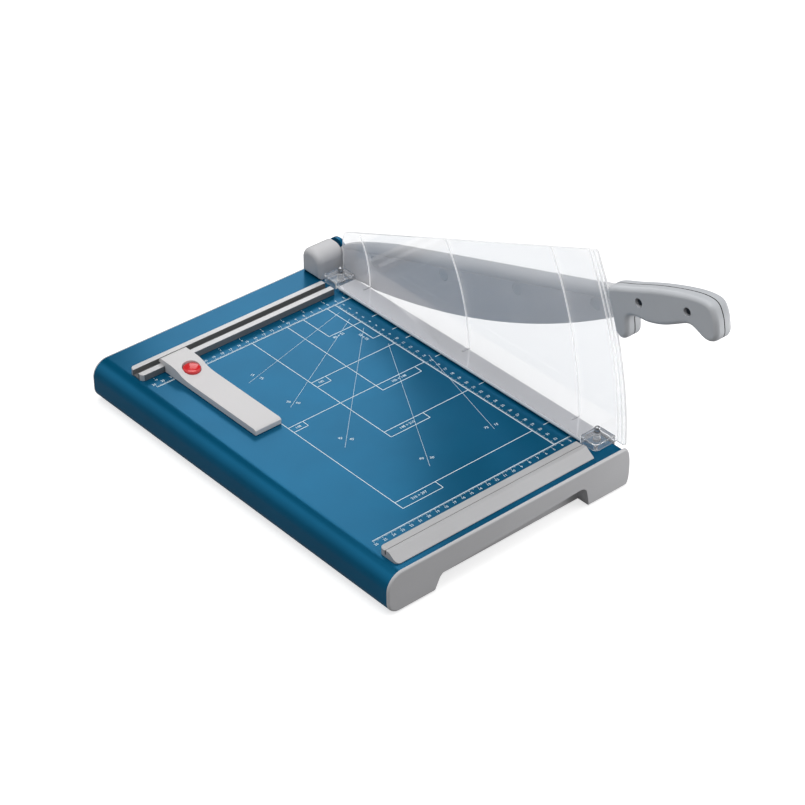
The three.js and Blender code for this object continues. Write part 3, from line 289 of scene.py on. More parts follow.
def lettered(words, x, y, high, turn=0):
    """Prints a number with its middle at a place."""
    curve = bpy.data.curves.new("number", "FONT")
    curve.body = words
    curve.size = high * 1.42
    curve.align_x = "CENTER"
    curve.align_y = "CENTER"
    curve.resolution_u = 2
    curve.extrude = (ink_high - ink_foot) / 2
    holder = bpy.data.objects.new("number", curve)
    bpy.context.scene.collection.objects.link(holder)
    depsgraph = bpy.context.evaluated_depsgraph_get()
    mesh = bpy.data.meshes.new_from_object(holder.evaluated_get(depsgraph))
    mesh.transform(Matrix.Translation((x, y, (ink_foot + ink_high) / 2))
                   @ Matrix.Rotation(math.radians(turn), 4, "Z"))
    printing.from_mesh(mesh)
    bpy.data.objects.remove(holder)
    bpy.data.curves.remove(curve)
    bpy.data.meshes.remove(mesh)


def tick(step):
    """The length of a scale's mark: longest at each ten, longer at each five."""
    return 3.2 if step % 10 == 0 else 2.3 if step % 5 == 0 else 1.5


stroke(scale_left, scale_back, scale_right, scale_back, scale_line)
stroke(scale_left, scale_front, scale_right, scale_front, scale_line)
stroke(ruler_x, scale_back, ruler_x, scale_front, scale_line)
for step in range(int(-scale_right), int(-scale_left) + 1):
    stroke(-step, scale_back, -step, scale_back + tick(step), tick_line)
    stroke(-step, scale_front, -step, scale_front - tick(step), tick_line)
    if step % 10 == 0:
        lettered(str(step // 10), -step, figures_back, numeral)
        lettered(str(step // 10), -step, figures_front, numeral)
for step in range(int(-scale_back) + 1, int(-scale_front) + 1):
    stroke(ruler_x, -step, ruler_x + tick(step), -step, tick_line)
    if step % 10 == 0:
        lettered(str(step // 10), ruler_x + 7, -step, numeral)
for count in range(1, 11):
    stroke(-count * inch, inch_line, -count * inch, inch_tick, tick_line)
    lettered(str(count), -count * inch, inch_figures, numeral * 0.8)

# Lines of the paper sizes: short ones beside the cutting edge, then upright lines as (x, from, to)
# and cross lines as (y, from, to)
for y in (-55, -85, -105, -148, -210, -297):
    stroke(edge_mark, y, scale_right, y, scale_line)
for x, y0, y1 in ((-105, -15.5, -158), (-148, -15.5, -220), (-210, -15.5, -308),
                  (-85, -15.5, -55), (-55, -15.5, -85)):
    stroke(x, y0, x, y1, scale_line)
for y, x0, x1 in ((-105, -148, -45), (-148, -210, -45), (-210, -148, -45), (-297, -210, -45),
                  (-55, -85, -45), (-85, -55, -45)):
    stroke(x0, y, x1, y, scale_line)
for x0, x1, y0, y1, words in (
        (-148, -131, -105, -114, "105"), (-210, -193, -148, -156.5, "148"),
        (-105, -57, -148, -158, "105 × 148"), (-148, -101, -210, -220, "148 × 210"),
        (-210, -163, -297, -308, "210 × 297")):
    stroke(x0, y1, x1, y1, scale_line)
    stroke(x1, y0, x1, y1, scale_line)
    lettered(words, (x0 + x1) / 2, (y0 + y1) / 2, size_numeral)
lettered("85 × 55", -76.5, -59.5, size_numeral)
lettered("55 × 85", -60, -77, size_numeral, 90)

# Fan of angles: (angle, reach across, and the places of its two numbers)
for angle, reach, first, second in (
        (15, 192, (-181, -58), (-178, -68)), (30, 187, (-183, -115), (-177.5, -122)),
        (45, 190, (-184, -191), (-177, -199)), (60, 151, (-149, -263), (-141, -268)),
        (75, 69, (-73, -266), (-63, -268))):
    slope = math.tan(math.radians(angle))
    near = 34 if angle > 60 else 50
    stroke(-near, -15 - near * slope, -reach, -15 - reach * slope, fan_line)
    lettered(str(angle), *first, 3.1, angle - 90)
    lettered(str(90 - angle), *second, 3.1, angle - 90)
shown(printing, "printed_scales", "base", white_ink, smoother=20)

# Bed knife: hardened strip screwed to the flange, ground level with the table top. The five
# countersunk screws are zinc plated.
knife_steel = coating("ground_knife_steel", (0.5, 0.51, 0.53), 0.28, 1, 0.0004, 0.000004, mottle=0.05)
zinc = coating("zinc_plate", (0.62, 0.64, 0.66), 0.36, 1, 0.0012, 0.000006, mottle=0.1, patch=0.006)


def dressed(finish, *nodes):
    """Gives kept parts of the frame their finish."""
    for node in nodes:
        held = frame["nodes"][node].data.materials
        held.clear()
        held.append(finish)


dressed(knife_steel, "bed_knife")
dressed(zinc, *(f"bed_knife_screw_{i}" for i in range(1, 6)))

# End caps: grey mouldings screwed into each end of the sheet, each with a hand recess below, an ear
# past the cutting edge and two rubber feet pressed in.
cap_wall = 2.5
cap_depth = 17.5
cap_edge = 2.1
seat = 0.3
ear_bulge = 5.9
ear_rise = 20.6
recess_depth = 14.5
recess_corners = [(-45, -1, 0), (-50, 24.4, 8), (-223, 17.2, 8), (-232, -1, 0)]
recess_edge = 0.9
recess_top = 26
cap_floor = 4
boss_radius = 4.2
boss_high = 9
pilot_radius = 1.95
pad_radius = 7
pad_high = 3
pad_places = (-248, -23)
bracket_foot = 5

cap_grey = coating("moulded_grey", (0.56, 0.56, 0.575), 0.46, 0, 0.0007, 0.00003, mottle=0.02)
rubber = coating("black_rubber", (0.02, 0.02, 0.021), 0.8, 0, 0.0009, 0.00004)


def bow(start, pull, end, steps=10):
    """Points on a curve from start to end, drawn towards a third place."""
    shares = [i / steps for i in range(steps + 1)]
    return [
        tuple((1 - t) ** 2 * a + 2 * t * (1 - t) * b + t * t * c for a, b, c in zip(start, pull, end))
        for t in shares]


def rounded(corners, steps=8):
    """An outline whose corners, given as (across, rise, radius), are arcs."""
    line = []
    for i, (across, rise, radius) in enumerate(corners):
        here = Vector((across, rise))
        before = (Vector(corners[i - 1][:2]) - here).normalized()
        after = (Vector(corners[(i + 1) % len(corners)][:2]) - here).normalized()
        if radius <= 0:
            line.append(tuple(here))
            continue
        half = before.angle(after) / 2
        centre = here + (before + after).normalized() * radius / math.sin(half)
        first = here + before * radius / math.tan(half) - centre
        last = here + after * radius / math.tan(half) - centre
        line += [tuple(centre + first.slerp(last, k / steps) * radius) for k in range(steps + 1)]
    return line


def cap_outline():
    corner = sheet_high.x + 2 * seat
    foot = sheet_low.z
    return [
        (corner, table_top), *nose(0),
        *bow((2 * seat, foot), (ear_bulge, foot), (ear_bulge, ear_rise)),
        *bow((ear_bulge, ear_rise), (ear_bulge, table_top - 1), (corner, table_top))[1:-1],
    ]


def plug_outline(wall, floor):
    inset = sheet_gauge + seat + wall
    side = sheet_high.x - inset
    line = nose(inset)
    lip_end = line.pop()
    return [
        (side, table_top - inset), *((a, max(b, floor)) for a, b in line),
        (lip_end[0] + seat, floor), (side, floor),
    ]


def grown(corners, by):
    """The recess outline, larger all round by a wall."""
    (a, b, _), (c, d, r), (e, f, s), (g, h, _) = corners
    return rounded([
        (a + by, b, 0), (c + by, d + by, r + by), (e - by, f + by, s + by), (g - by, h, 0)])


def end_cap(end, outward, pocketed):
    """One cap on the end of the sheet; outward is its direction along the cutting edge."""
    face = end + outward * cap_wall
    inner = end - outward * cap_depth
    cover = prism(cap_outline(), front_view, end, face)
    softened(cover, cap_edge, 5, 40, lambda place: abs(place.y - face) < 0.01)
    plug = prism(plug_outline(0, sheet_low.z), front_view, end + outward * seat, inner)
    room = prism(plug_outline(cap_wall, sheet_low.z + cap_floor), front_view, end, inner - outward)
    shell = prism(grown(recess_corners, cap_wall), front_view, end + outward,
                  face - outward * (recess_depth + cap_wall))
    boss_at = (sheet_low.x + under_radius + under_lip / 2, end - outward * cap_depth / 2)
    boss = disc(boss_radius, plan_view, *boss_at, cap_floor, cap_floor + boss_high)
    room = combined(room, "DIFFERENCE", shell, boss)
    cuts = [
        room,
        prism(rounded(recess_corners), front_view, face + outward, face - outward * recess_depth),
        disc(pilot_radius, plan_view, *boss_at, 1, 12),
    ]
    pad_y = face - outward * (cap_wall + cap_depth) / 2
    cuts += [disc(pad_radius + seat, plan_view, x, pad_y, -1, pad_high + seat) for x in pad_places]
    if pocketed:
        cuts.append(slab(notch_left, ear_bulge, inner - 1, end - 0.2, bracket_foot - seat,
                         table_top + 1))
    cap = combined(combined(cover, "UNION", plug), "DIFFERENCE", *cuts)
    left, right = recess_corners[3][0] - 1, recess_corners[0][0] + 1
    return softened(cap, recess_edge, 3, 40, lambda place: (
        abs(place.y - face) < 0.01 and left < place.x < right and place.z < recess_top))


shown(end_cap(sheet_low.y, -1, False), "front_cap", "base", cap_grey,
      ["front_end_cap"])
shown(end_cap(sheet_high.y, 1, True), "back_cap", "base", cap_grey,
      ["back_end_cap"])
dressed(rubber, *(f"foot_{end}_{side}" for end in ("front", "back") for side in ("left", "right")))
dressed(zinc, "cap_screw_front", "cap_screw_back")

# Rails: two grey strips screwed down from below. The back one has a groove for the backstop's hook,
# the front one a slit behind a crest and a slope towards the operator. Groove, slit and the back
# rail's front face carry a painted shade, and the front rail's darker grey is a painted shade.
rail_right = -33
rail_left = -266
rail_high = 7
rail_edge = 0.5
rail_end_radius = 4.5
back_rail_wide = 20.2
groove_near = 6.5
groove_far = 14.2
front_rail_back = 341.8
front_rail_front = 365
slit_near = 350.4
slit_far = 349.2
crest = 0.8

rail_grey = coating("satin_rail", (0.62, 0.62, 0.63), 0.36, 0.3, 0.0009, 0.00001, mottle=0.03)


def rail(profile, near, far):
    """A strip with this profile, cut to a plan that is rounded at the left. It is swept past the
    plan's ends, because ends in one plane are cut differently from run to run."""
    strip = prism(profile, side_view, rail_left - 1, rail_right + 1)
    plan = rounded([(rail_right, near, 0.5), (rail_right, far, 0.5),
                    (rail_left, far, rail_end_radius), (rail_left, near, rail_end_radius)])
    strip = combined(strip, "INTERSECT", prism(plan, plan_view, table_top - 2, table_top + 12))
    return softened(strip, rail_edge, 3, 30, lambda p: p.z > table_top + 2)


rail_foot = table_top + seat
rail_top = table_top + rail_high
groove_floor = table_top + 1.5
slit_floor = table_top + 3
back_profile = [
    (0, rail_foot), (0, rail_top), (-groove_near, rail_top), (-groove_near, groove_floor),
    (-groove_far, groove_floor), (-groove_far, rail_top), (-back_rail_wide, rail_top),
    (-back_rail_wide, rail_foot)]
front_profile = [
    (front_rail_back, rail_foot), (front_rail_back, rail_top), (slit_far, rail_top),
    (slit_far, slit_floor), (slit_near, slit_floor), (slit_near, rail_top + crest),
    (354.6, rail_top + crest), (front_rail_front, table_top + 0.9), (front_rail_front, rail_foot)]
# A dark grey that paints the shade in the groove, in the front rail's slit and on the back rail's
# front face.
rail_painted_shade = coating("painted_rail_shade", (0.17, 0.175, 0.18), 0.4, 0.2, 0.0009, 0.00001, mottle=0.03)
back_rail = rail(back_profile, 0, back_rail_wide)
# Groove faces and the front face take the painted shade.
for face in back_rail.faces:
    middle = face.calc_center_median()
    in_groove = groove_near - 0.1 < middle.y < groove_far + 0.1 and middle.z < rail_top - 0.6
    face.material_index = int(in_groove or face.normal.y < -0.9)
back_piece = shown(back_rail, "grooved_back_rail", "base", rail_grey, ["back_rail"])
back_piece.data.materials.append(rail_painted_shade)
# The front rail takes a darker copy of the rail grey, a painted shade for its slope.
shaded_rail_grey = coating("satin_rail_painted_shade", (0.5, 0.5, 0.51), 0.4, 0.2, 0.0009, 0.00001, mottle=0.03)
front_rail = rail(front_profile, -front_rail_front, -front_rail_back)
# Slit faces take the painted shade.
for face in front_rail.faces:
    middle = face.calc_center_median()
    in_slit = -slit_near - 0.1 < middle.y < -slit_far + 0.1 and middle.z < rail_top - 0.1
    face.material_index = int(in_slit)
front_piece = shown(front_rail, "sloped_front_rail", "base", shaded_rail_grey,
                    ["front_rail"])
front_piece.data.materials.append(rail_painted_shade)
dressed(zinc, *(f"rail_screw_{i}" for i in range(1, 5)))

# Backstop: a pale moulded arm that bridges the rail's front strip and hooks into its groove, with a
# steel jaw and a wound return spring inside and a glossy red release button in its head. The spring
# gets shorter when the button is pressed.
stop_left = -240
stop_right = -210
stop_reach = 138.5
stop_foot = table_top + 0.5
stop_top = table_top + 7
head_top = table_top + 12.5
hook_reach = 9.2
rail_clear = rail_top + 0.4
button_x = (stop_left + stop_right) / 2
button_along = 22.6
button_radius = 8.7
dome_foot = 9.4
dome_rise = 3
head_radius = 4.6
well_gap = 0.45
stop_wall = 2.3

pale_plastic = coating("pale_moulding", (0.66, 0.65, 0.655), 0.42, 0, 0.0008, 0.00002, mottle=0.015)
red_plastic = coating("red_gloss", (0.72, 0.025, 0.03), 0.16, 0, 0.002, 0.000004, mottle=0.03,
                      Coat_Weight=0.6, Coat_Roughness=0.05)

stop_side = [
    (stop_reach, stop_foot), (stop_reach, stop_top - 1.5), (stop_reach - 2.5, stop_top),
    *bow((42, stop_top), (29, stop_top), (23, stop_top + 2.9))[:-1],
    *bow((23, stop_top + 2.9), (17.5, head_top), (8, head_top)),
    *arc(head_radius - hook_reach, head_top - head_radius, head_radius, 90, 180, 8),
    (-hook_reach, rail_clear), (0.4, rail_clear), (0.4, stop_foot)]
arm = prism(stop_side, side_view, stop_left, stop_right)
softened(arm, 2.6, 5, 35, lambda p: p.x < stop_left + 0.01 or p.x > stop_right - 0.01)
hook = slab(stop_left + 1.6, stop_right - 1.6, hook_reach - stop_wall, hook_reach - 0.2,
            table_top + 3.5, rail_clear + 2)
arm = combined(arm, "UNION", hook)
cavity = prism([
    (-0.9, stop_foot - 2), (36, stop_foot - 2), (36, stop_top - 2.1), (25, stop_top - 0.3),
    (18, head_top - 3.4), (2.7, head_top - 2.6), (2.7, rail_clear), (-0.9, rail_clear)],
    side_view, stop_left + stop_wall, stop_right - stop_wall)
well = disc(button_radius + well_gap, plan_view, button_x, -button_along, stop_foot - 2,
            head_top + 3, 64)
arm = combined(arm, "DIFFERENCE", cavity, well)


def on_well(place):
    reach = math.hypot(place.x - button_x, place.y + button_along)
    return abs(reach - button_radius - well_gap) < 0.02 and place.z > stop_top


softened(arm, 0.5, 3, 30, on_well)
shown(arm, "backstop_moulding", "backstop", pale_plastic, ["backstop_arm"])


def spun(profile, place, steps):
    """A turned solid: its profile of (radius, height), on the axis at both ends, spun about it."""
    bm = bmesh.new()
    line = [bm.verts.new((radius, 0, height)) for radius, height in profile]
    edges = [bm.edges.new(pair) for pair in zip(line, line[1:])]
    bmesh.ops.spin(bm, geom=[*line, *edges], cent=(0, 0, 0), axis=(0, 0, 1), dvec=(0, 0, 0),
                   angle=math.tau, steps=steps, use_merge=True, use_duplicate=False)
    bmesh.ops.remove_doubles(bm, verts=bm.verts, dist=0.001)
    bmesh.ops.recalc_face_normals(bm, faces=bm.faces)
    bm.transform(Matrix.Translation(place))
    return bm


dome = [(a, dome_foot + (b - dome_foot) * dome_rise / button_radius)
        for a, b in arc(0, dome_foot, button_radius, 0, 90, 14)]
button = spun([
    (0, 8.6), (7, 8.6), (7, 4.2), (10.2, 4.2), (10.2, 5.2), (button_radius, 5.2), *dome[:-1],
    (0, dome_foot + dome_rise)], (button_x, -button_along, table_top), steps=64)
shown(button, "button_cap", "button", red_plastic, ["release_button"])
dressed(zinc, "backstop_jaw")


def wound_spring(node, body, turns, wire=0.4, around=8, per_turn=24):
    """A coil as large as its node."""
    low, high = (bench.inverted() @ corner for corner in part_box(node))
    middle = (low + high) / 2
    steps = turns * per_turn
    coil = bmesh.new()
    rings = []
    for i in range(steps + 1):
        turn = math.tau * i / per_turn
        rise = low.z + wire + (high.z - low.z - 2 * wire) * i / steps
        ring = []
        for out, up in arc(0, 0, wire, 0, 360, around)[:-1]:
            reach = (high.x - low.x) / 2 - wire + out
            ring.append(coil.verts.new((
                middle.x + reach * math.cos(turn), middle.y + reach * math.sin(turn), rise + up)))
        rings.append(ring)
    for near, far in zip(rings, rings[1:]):
        for k in range(around):
            coil.faces.new((near[k - 1], near[k], far[k], far[k - 1]))
    coil.faces.new(rings[0])
    coil.faces.new(rings[-1])
    bmesh.ops.recalc_face_normals(coil, faces=coil.faces)
    piece = shown(coil, f"{node}_coil", body, zinc, [node])
    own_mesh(piece)


wound_spring("button_spring", "backstop", 5)

# Pivot bracket: a bent steel fork with a leg inside the flange and a round topped cheek outside the
# arm, coated like the table. Bolt, bush, washer, disc springs and nut run through it.
bracket_front = 28
bracket_back = 56
bracket_gauge = 4
leg_left = -8.5
cheek_left = 5.85
cheek_crown = 59
leg_top = 41
leg_eye = 10.7

half = (bracket_back - bracket_front) / 2
cheek = [(-bracket_back, bracket_foot), (-bracket_front, bracket_foot),
         *arc(-(bracket_front + half), cheek_crown, half, 0, 180, 32)]
fork = combined(
    slab(leg_left, cheek_left + bracket_gauge, bracket_front, bracket_back, bracket_foot,
         bracket_foot + bracket_gauge),
    "UNION",
    slab(leg_left, leg_left + bracket_gauge, bracket_front, bracket_back, bracket_foot, leg_top),
    disc(leg_eye, side_view, -pivot_y, pivot_z, leg_left, leg_left + bracket_gauge),
    prism(cheek, side_view, cheek_left, cheek_left + bracket_gauge))
fork = combined(fork, "DIFFERENCE", disc(bolt_slot, side_view, -pivot_y, pivot_z, -12, 14))
softened(fork, 0.5, 2, 40, lambda p: p.x > 5)
shown(fork, "pivot_fork", "base", blue_coat, ["pivot_bracket"])
bronze = coating("sintered_bronze", (0.42, 0.26, 0.1), 0.42, 1, 0.0004, 0.00001)
dressed(bronze, "pivot_bush")
dressed(zinc, "pivot_bolt", "thrust_washer", "disc_springs", "lock_nut", "bracket_screw_1",
        "bracket_screw_2")

# Pivot cover: a moulded grey hood over the bolt's tail, with a round crown and a softened left end.
# It is open below and has a hole for the bolt; the arm's eye is set back to turn clear of it.
cover_left = -29.2
cover_right = 2.3
cover_front = 28.8
cover_back = 56.6
cover_foot = table_top + seat
cover_top = cover_foot + 29.2
cover_crown = 12
cover_rounding = 6
cover_wall = 2.4
bolt_room = 11.3


def hood(inset, foot, left, right):
    return prism(rounded([
        (-cover_front - inset, foot, 0),
        (-cover_front - inset, cover_top - inset, cover_crown - inset),
        (-cover_back + inset, cover_top - inset, cover_crown - inset),
        (-cover_back + inset, foot, 0),
    ], 12), side_view, left, right)


cover = hood(0, cover_foot, cover_left, cover_right)
softened(cover, cover_rounding, 7, 40, lambda p: p.x < cover_left + 0.01)
softened(cover, 1.2, 3, 60, lambda p: p.x > cover_right - 0.01)
cover = combined(
    cover, "DIFFERENCE",
    hood(cover_wall, table_top - 5, cover_left + cover_wall, cover_right - cover_wall),
    disc(bolt_room, side_view, -pivot_y, pivot_z, -5, 4))
shown(cover, "pivot_hood", "base", cap_grey, ["pivot_cover"])

# Blade arm: a grey painted steel bar that swings on the pivot, thinned on both sides at its eye, with
# a sloping shoulder, a seat for the blade and a tang for the handle. Lever parts are drawn closed:
# forward and up from the pivot.
opened = math.radians(17.5)
lever = bench @ Matrix.Translation((0, pivot_y, pivot_z)) @ Matrix.Rotation(-opened, 4, "X")
arm_left = 0.45
arm_right = 10.45
arm_top = 37
arm_end = 418.6
belly_radius = 850
belly_at = 188
belly_drop = 22.3
belly_centre = belly_radius - belly_drop
eye_radius = 13
eye_thick = 4.95
eye_clear = 36.5
bush_hole = 7.3
shoulder_centre = (15.2, 24.4)
shoulder_radius = 14.8
arm_setback = 12
inner_rounding = 6.8
outer_rounding = 3
seat_back = 20.7
seat_top = 25.3
seat_wall = 3.45
screw_first = 76.5
screw_last = 392.7
screw_height = 17.3
screw_hole = 3.3
tang_thick = 4
tang_root = 409
tang_end = 532
tang_foot = 25.6
tang_top = 36.6

arm_grey = coating("satin_arm_paint", (0.78, 0.785, 0.8), 0.42, 0.05, 0.0008, 0.000015, mottle=0.03)


def reach_at(radius, rise):
    return math.sqrt(radius * radius - rise * rise)


def belly(setback, start, end, steps=40):
    """The long arc of the cutting edge, set back by a distance, from start to end."""
    radius = belly_radius - setback
    alongs = [start + (end - start) * i / steps for i in range(steps + 1)]
    line = [(a, belly_centre - math.sqrt(radius ** 2 - (a - belly_at) ** 2)) for a in alongs]
    return [*line[:-1], (reach_at(end, line[-1][1]), line[-1][1])]


def through(points, steps=6):
    """A smooth line through these places."""
    ends = [points[0], *points, points[-1]]
    line = []
    for p, q, r, s in zip(ends, ends[1:], ends[2:], ends[3:]):
        for k in range(steps):
            t = k / steps
            line.append(tuple(
                0.5 * (2 * b + (c - a) * t + (2 * a - 5 * b + 4 * c - d) * t * t
                       + (3 * b - a - 3 * c + d) * t ** 3) for a, b, c, d in zip(p, q, r, s)))
    return [*line, points[-1]]


heel = through([(110, 37), (66, 34), (28.6, 28.5), (11, 19.6), (-6.5, 11.26)])
lower = belly(arm_setback, 62, arm_end)
bar = [
    (reach_at(arm_end, arm_top), arm_top), *heel[:-1],
    *arc(0, 0, eye_radius, 120, 270, 24),
    *bow((0, -eye_radius), (37.2, -eye_radius), lower[0])[1:-1], *lower]
body = prism(bar, side_view, arm_left, arm_right)
softened(body, outer_rounding, 4, 40, lambda p: p.x > arm_right - 0.01)
softened(body, inner_rounding, 8, 40, lambda p: p.x < arm_left + 0.01 and p.z > 12)
shoulder = [*arc(*shoulder_centre, shoulder_radius, 176, 118, 12), (8.2, 46), (-5, 46), (-5, 25.4)]
cuts = [
    prism(shoulder, front_view, -20, -arm_end - 3),
    disc(eye_clear, side_view, 0, 0, arm_left + eye_thick, arm_right + 3, 96),
    disc(eye_clear, side_view, 0, 0, arm_left - 1, cover_right + 0.4, 96),
    disc(bush_hole, side_view, 0, 0, -3, 14, 48),
    slab(-1, seat_wall, -arm_end - 3, -seat_back, -30, seat_top),
]
screw_places = [
    (screw_first + (screw_last - screw_first) * i / 3, screw_height) for i in range(4)]
cuts += [disc(screw_hole, side_view, a, b, -1, 9.1, 32) for a, b in screw_places]
body = combined(body, "DIFFERENCE", *cuts)
tang = slab(arm_left, arm_left + tang_thick, -tang_end, -tang_root, tang_foot, tang_top)
shown(combined(body, "UNION", tang), "swing_arm", "lever", arm_grey, ["blade_arm"],
      lever)

# Blade: flat hardened steel with a long curved edge, ground on its outer side only and held by four
# flat headed screws.
blade_left = 0.15
blade_right = 3.15
blade_top = 25
blade_back = 24
blade_end = 417
grind = 6
screw_sink = 5.8


def blade_loop(bm, setback, x):
    line = belly(setback, blade_back, blade_end)
    corner = math.degrees(math.asin(line[-1][1] / blade_end))
    tip = arc(0, 0, blade_end, corner, math.degrees(math.asin(blade_top / blade_end)), 4)[1:]
    line += [*tip, (blade_back, blade_top)]
    return bm.faces.new([bm.verts.new(side_view(a, b, x)) for a, b in line])


steel = bmesh.new()
inner = blade_loop(steel, 0, blade_left)
outer = blade_loop(steel, grind, blade_right)
bmesh.ops.bridge_loops(steel, edges=[*inner.edges, *outer.edges])
bmesh.ops.recalc_face_normals(steel, faces=steel.faces)
sinks = [disc(screw_sink, side_view, a, b, -1, 2.25, 40) for a, b in screw_places]
sinks += [disc(screw_hole, side_view, a, b, -1, 5, 32) for a, b in screw_places]
steel = combined(steel, "DIFFERENCE", *sinks)
blade_steel = coating("satin_blade_steel", (0.93, 0.92, 0.925), 0.5, 0.05, 0.0004, 0.000004,
                      mottle=0.04)
shown(steel, "curved_blade", "lever", blade_steel, ["blade"], lever, smoother=20)
screw_steel = coating("bright_screw", (0.88, 0.88, 0.88), 0.35, 0.2, 0.0008, 0.000004, mottle=0.03)
dressed(screw_steel, *(f"blade_screw_{i}" for i in range(1, 5)))

# Handle: two grey mouldings screwed together over the tang, with a finger guard at the front and a
# hooked end; a thin shadow line shows where they meet.
handle_face = 419
handle_long = 129.4
handle_tall = 54.4
handle_drop = 7.8
handle_left = -7.5
handle_right = 12.4
seam = 2
seam_gap = 1
handle_rounding = 7.2
grip_shares = [
    (0.019, 0.884), (0.084, 0.912), (0.219, 0.933), (0.433, 0.981), (0.639, 1), (0.81, 0.988),
    (0.919, 0.943), (0.98, 0.855), (1, 0.678), (0.998, 0.522), (0.985, 0.359), (0.951, 0.271),
    (0.897, 0.247), (0.844, 0.298), (0.798, 0.393), (0.753, 0.464), (0.7, 0.476), (0.593, 0.422),
    (0.479, 0.372), (0.35, 0.367), (0.251, 0.416), (0.183, 0.422), (0.146, 0.35), (0.133, 0.195),
    (0.118, 0.074), (0.084, 0.005), (0.042, 0), (0.0115, 0.074),
]
screw_alongs = (457.3, 516)
screw_rise = 30.6
head_recess = 4.2
recess_floor = -2.8
screw_bore = 2.3
handle_low = -1.3
handle_high = 36.5

handle_grey = coating("handle_moulding", (0.59, 0.61, 0.64), 0.42, 0, 0.0008, 0.00002, mottle=0.02)

grip = through(
    [(handle_face + a * handle_long, b * handle_tall - handle_drop) for a, b in grip_shares], 4)
low = math.degrees(math.asin(handle_low / handle_face))
high = math.degrees(math.asin(handle_high / handle_face))
grip = [*arc(0, 0, handle_face, low, high, 10), *grip]


def handle_half(start, end, outside):
    """One half of the handle; outside is the x of its rounded face."""
    half = prism(grip, side_view, start, end)
    softened(half, handle_rounding, 6, 40, lambda p: abs(p.x - outside) < 0.01)
    return half


pocket = (arm_left - seat, arm_left + tang_thick + seat, -tang_end - 1, 0,
          tang_foot - seat, tang_top + seat)
left_half = combined(
    handle_half(handle_left, seam, handle_left), "DIFFERENCE", slab(*pocket),
    *(disc(head_recess, side_view, a, screw_rise, handle_left - 1, recess_floor, 32)
      for a in screw_alongs),
    *(disc(screw_bore, side_view, a, screw_rise, -4, 4, 24) for a in screw_alongs))
softened(left_half, 0.5, 2, 60, lambda p: p.x < handle_left + 0.01)
right_half = combined(
    handle_half(seam + seam_gap, handle_right, handle_right), "DIFFERENCE", slab(*pocket),
    *(disc(screw_bore, side_view, a, screw_rise, 0, 9.7, 24) for a in screw_alongs))
seam_shadow = coating("seam_shadow", (0.02, 0.02, 0.025), 0.6, 0, 0.0009, 0.00001)
for half_mesh in (left_half, right_half):
    for face in half_mesh.faces:
        face.material_index = int(seam - 0.05 < face.calc_center_median().x < seam + seam_gap + 0.05)
left_piece = shown(left_half, "handle_inner_half", "lever", handle_grey,
                   ["handle_left_half"], lever)
right_piece = shown(right_half, "handle_outer_half", "lever", handle_grey,
                    ["handle_right_half"], lever)
left_piece.data.materials.append(seam_shadow)
right_piece.data.materials.append(seam_shadow)
dark_screw = coating("dark_screw", (0.05, 0.05, 0.055), 0.35, 0.9, 0.0006, 0.000006)
dressed(dark_screw, "handle_screw_1", "handle_screw_2")

# Guard: one clear moulding that stands beside the blade, with three curved ribs, a stiffened near
# edge, a clamping flange and a block round each guide pin. Edges carry a painted highlight, white
# and faintly glowing, and the blocks are milky.
guard_right = -0.9
guard_gauge = 2.2
guard_left = guard_right - guard_gauge
guard_reach = 417
guard_back = 22.8
guard_slope = 0.398
guard_rise = table_top + 62
clamp_foot = table_top + 2
flange_foot_z = clamp_foot + 1.9
flange_top = flange_foot_z + 2
flange_left = -26.5
block_left = -27.5
block_top = clamp_foot + 7.2
guard_corner = 3
guard_rear_corner = 12
pin_x = -12
rear_pin = 15.7
front_pin = -347
pin_hole = 2.4
flange_front = -341
flange_back = 5
rib_radii = (357.5, 208.5)
rib_wide = 1.2
rib_proud = 1
rib_foot = flange_top - 0.3
short_rib_at = 20


def worked_out(tree, operation, first, second):
    """The value that a maths node gives for two other sockets."""
    node = tree.nodes.new("ShaderNodeMath")
    node.operation = operation
    tree.links.new(first, node.inputs[0])
    tree.links.new(second, node.inputs[1])
    return node.outputs["Value"]


def clear_moulding(name, tint, haze_share):
    """Clear plastic with a share of white haze; light passes it and leaves only a faint shade."""
    made = bpy.data.materials.new(name)
    made.use_nodes = True
    nodes, links = made.node_tree.nodes, made.node_tree.links
    skin = nodes["Principled BSDF"]
    skin.inputs["Base Color"].default_value = (*tint, 1)
    skin.inputs["Roughness"].default_value = 0.05
    skin.inputs["IOR"].default_value = 1.49
    skin.inputs["Transmission Weight"].default_value = 1
    haze = nodes.new("ShaderNodeBsdfDiffuse")
    haze.inputs["Color"].default_value = (0.9, 0.91, 0.93, 1)
    hazed = nodes.new("ShaderNodeMixShader")
    hazed.inputs["Fac"].default_value = haze_share
    links.new(skin.outputs["BSDF"], hazed.inputs[1])
    links.new(haze.outputs["BSDF"], hazed.inputs[2])
    ray = nodes.new("ShaderNodeLightPath")
    passing = worked_out(made.node_tree, "MAXIMUM", ray.outputs["Is Shadow Ray"],
                         ray.outputs["Is Diffuse Ray"])
    passed = nodes.new("ShaderNodeBsdfTransparent")
    passed.inputs["Color"].default_value = (0.95, 0.95, 0.96, 1)
    whole = nodes.new("ShaderNodeMixShader")
    links.new(passing, whole.inputs["Fac"])
    links.new(hazed.outputs["Shader"], whole.inputs[1])
    links.new(passed.outputs["BSDF"], whole.inputs[2])
    links.new(whole.outputs["Shader"], nodes["Material Output"].inputs["Surface"])
    return made


clear_plastic = clear_moulding("clear_plastic", (0.845, 0.85, 0.86), 0.04)
milky_plastic = clear_moulding("milky_plastic", (0.95, 0.955, 0.96), 0.12)
# A white finish that glows faintly: a painted highlight for the guard's edges.
edge_highlight_plastic = coating("painted_edge_highlight", (0.93, 0.94, 0.95), 0.4, 0, 0.0006, 0.00001,
                          Transmission_Weight=0.35, Emission_Color=(1, 1, 1, 1),
                          Emission_Strength=0.2)


def guard_top(along):
    return guard_rise + guard_slope * (along - 6.9)


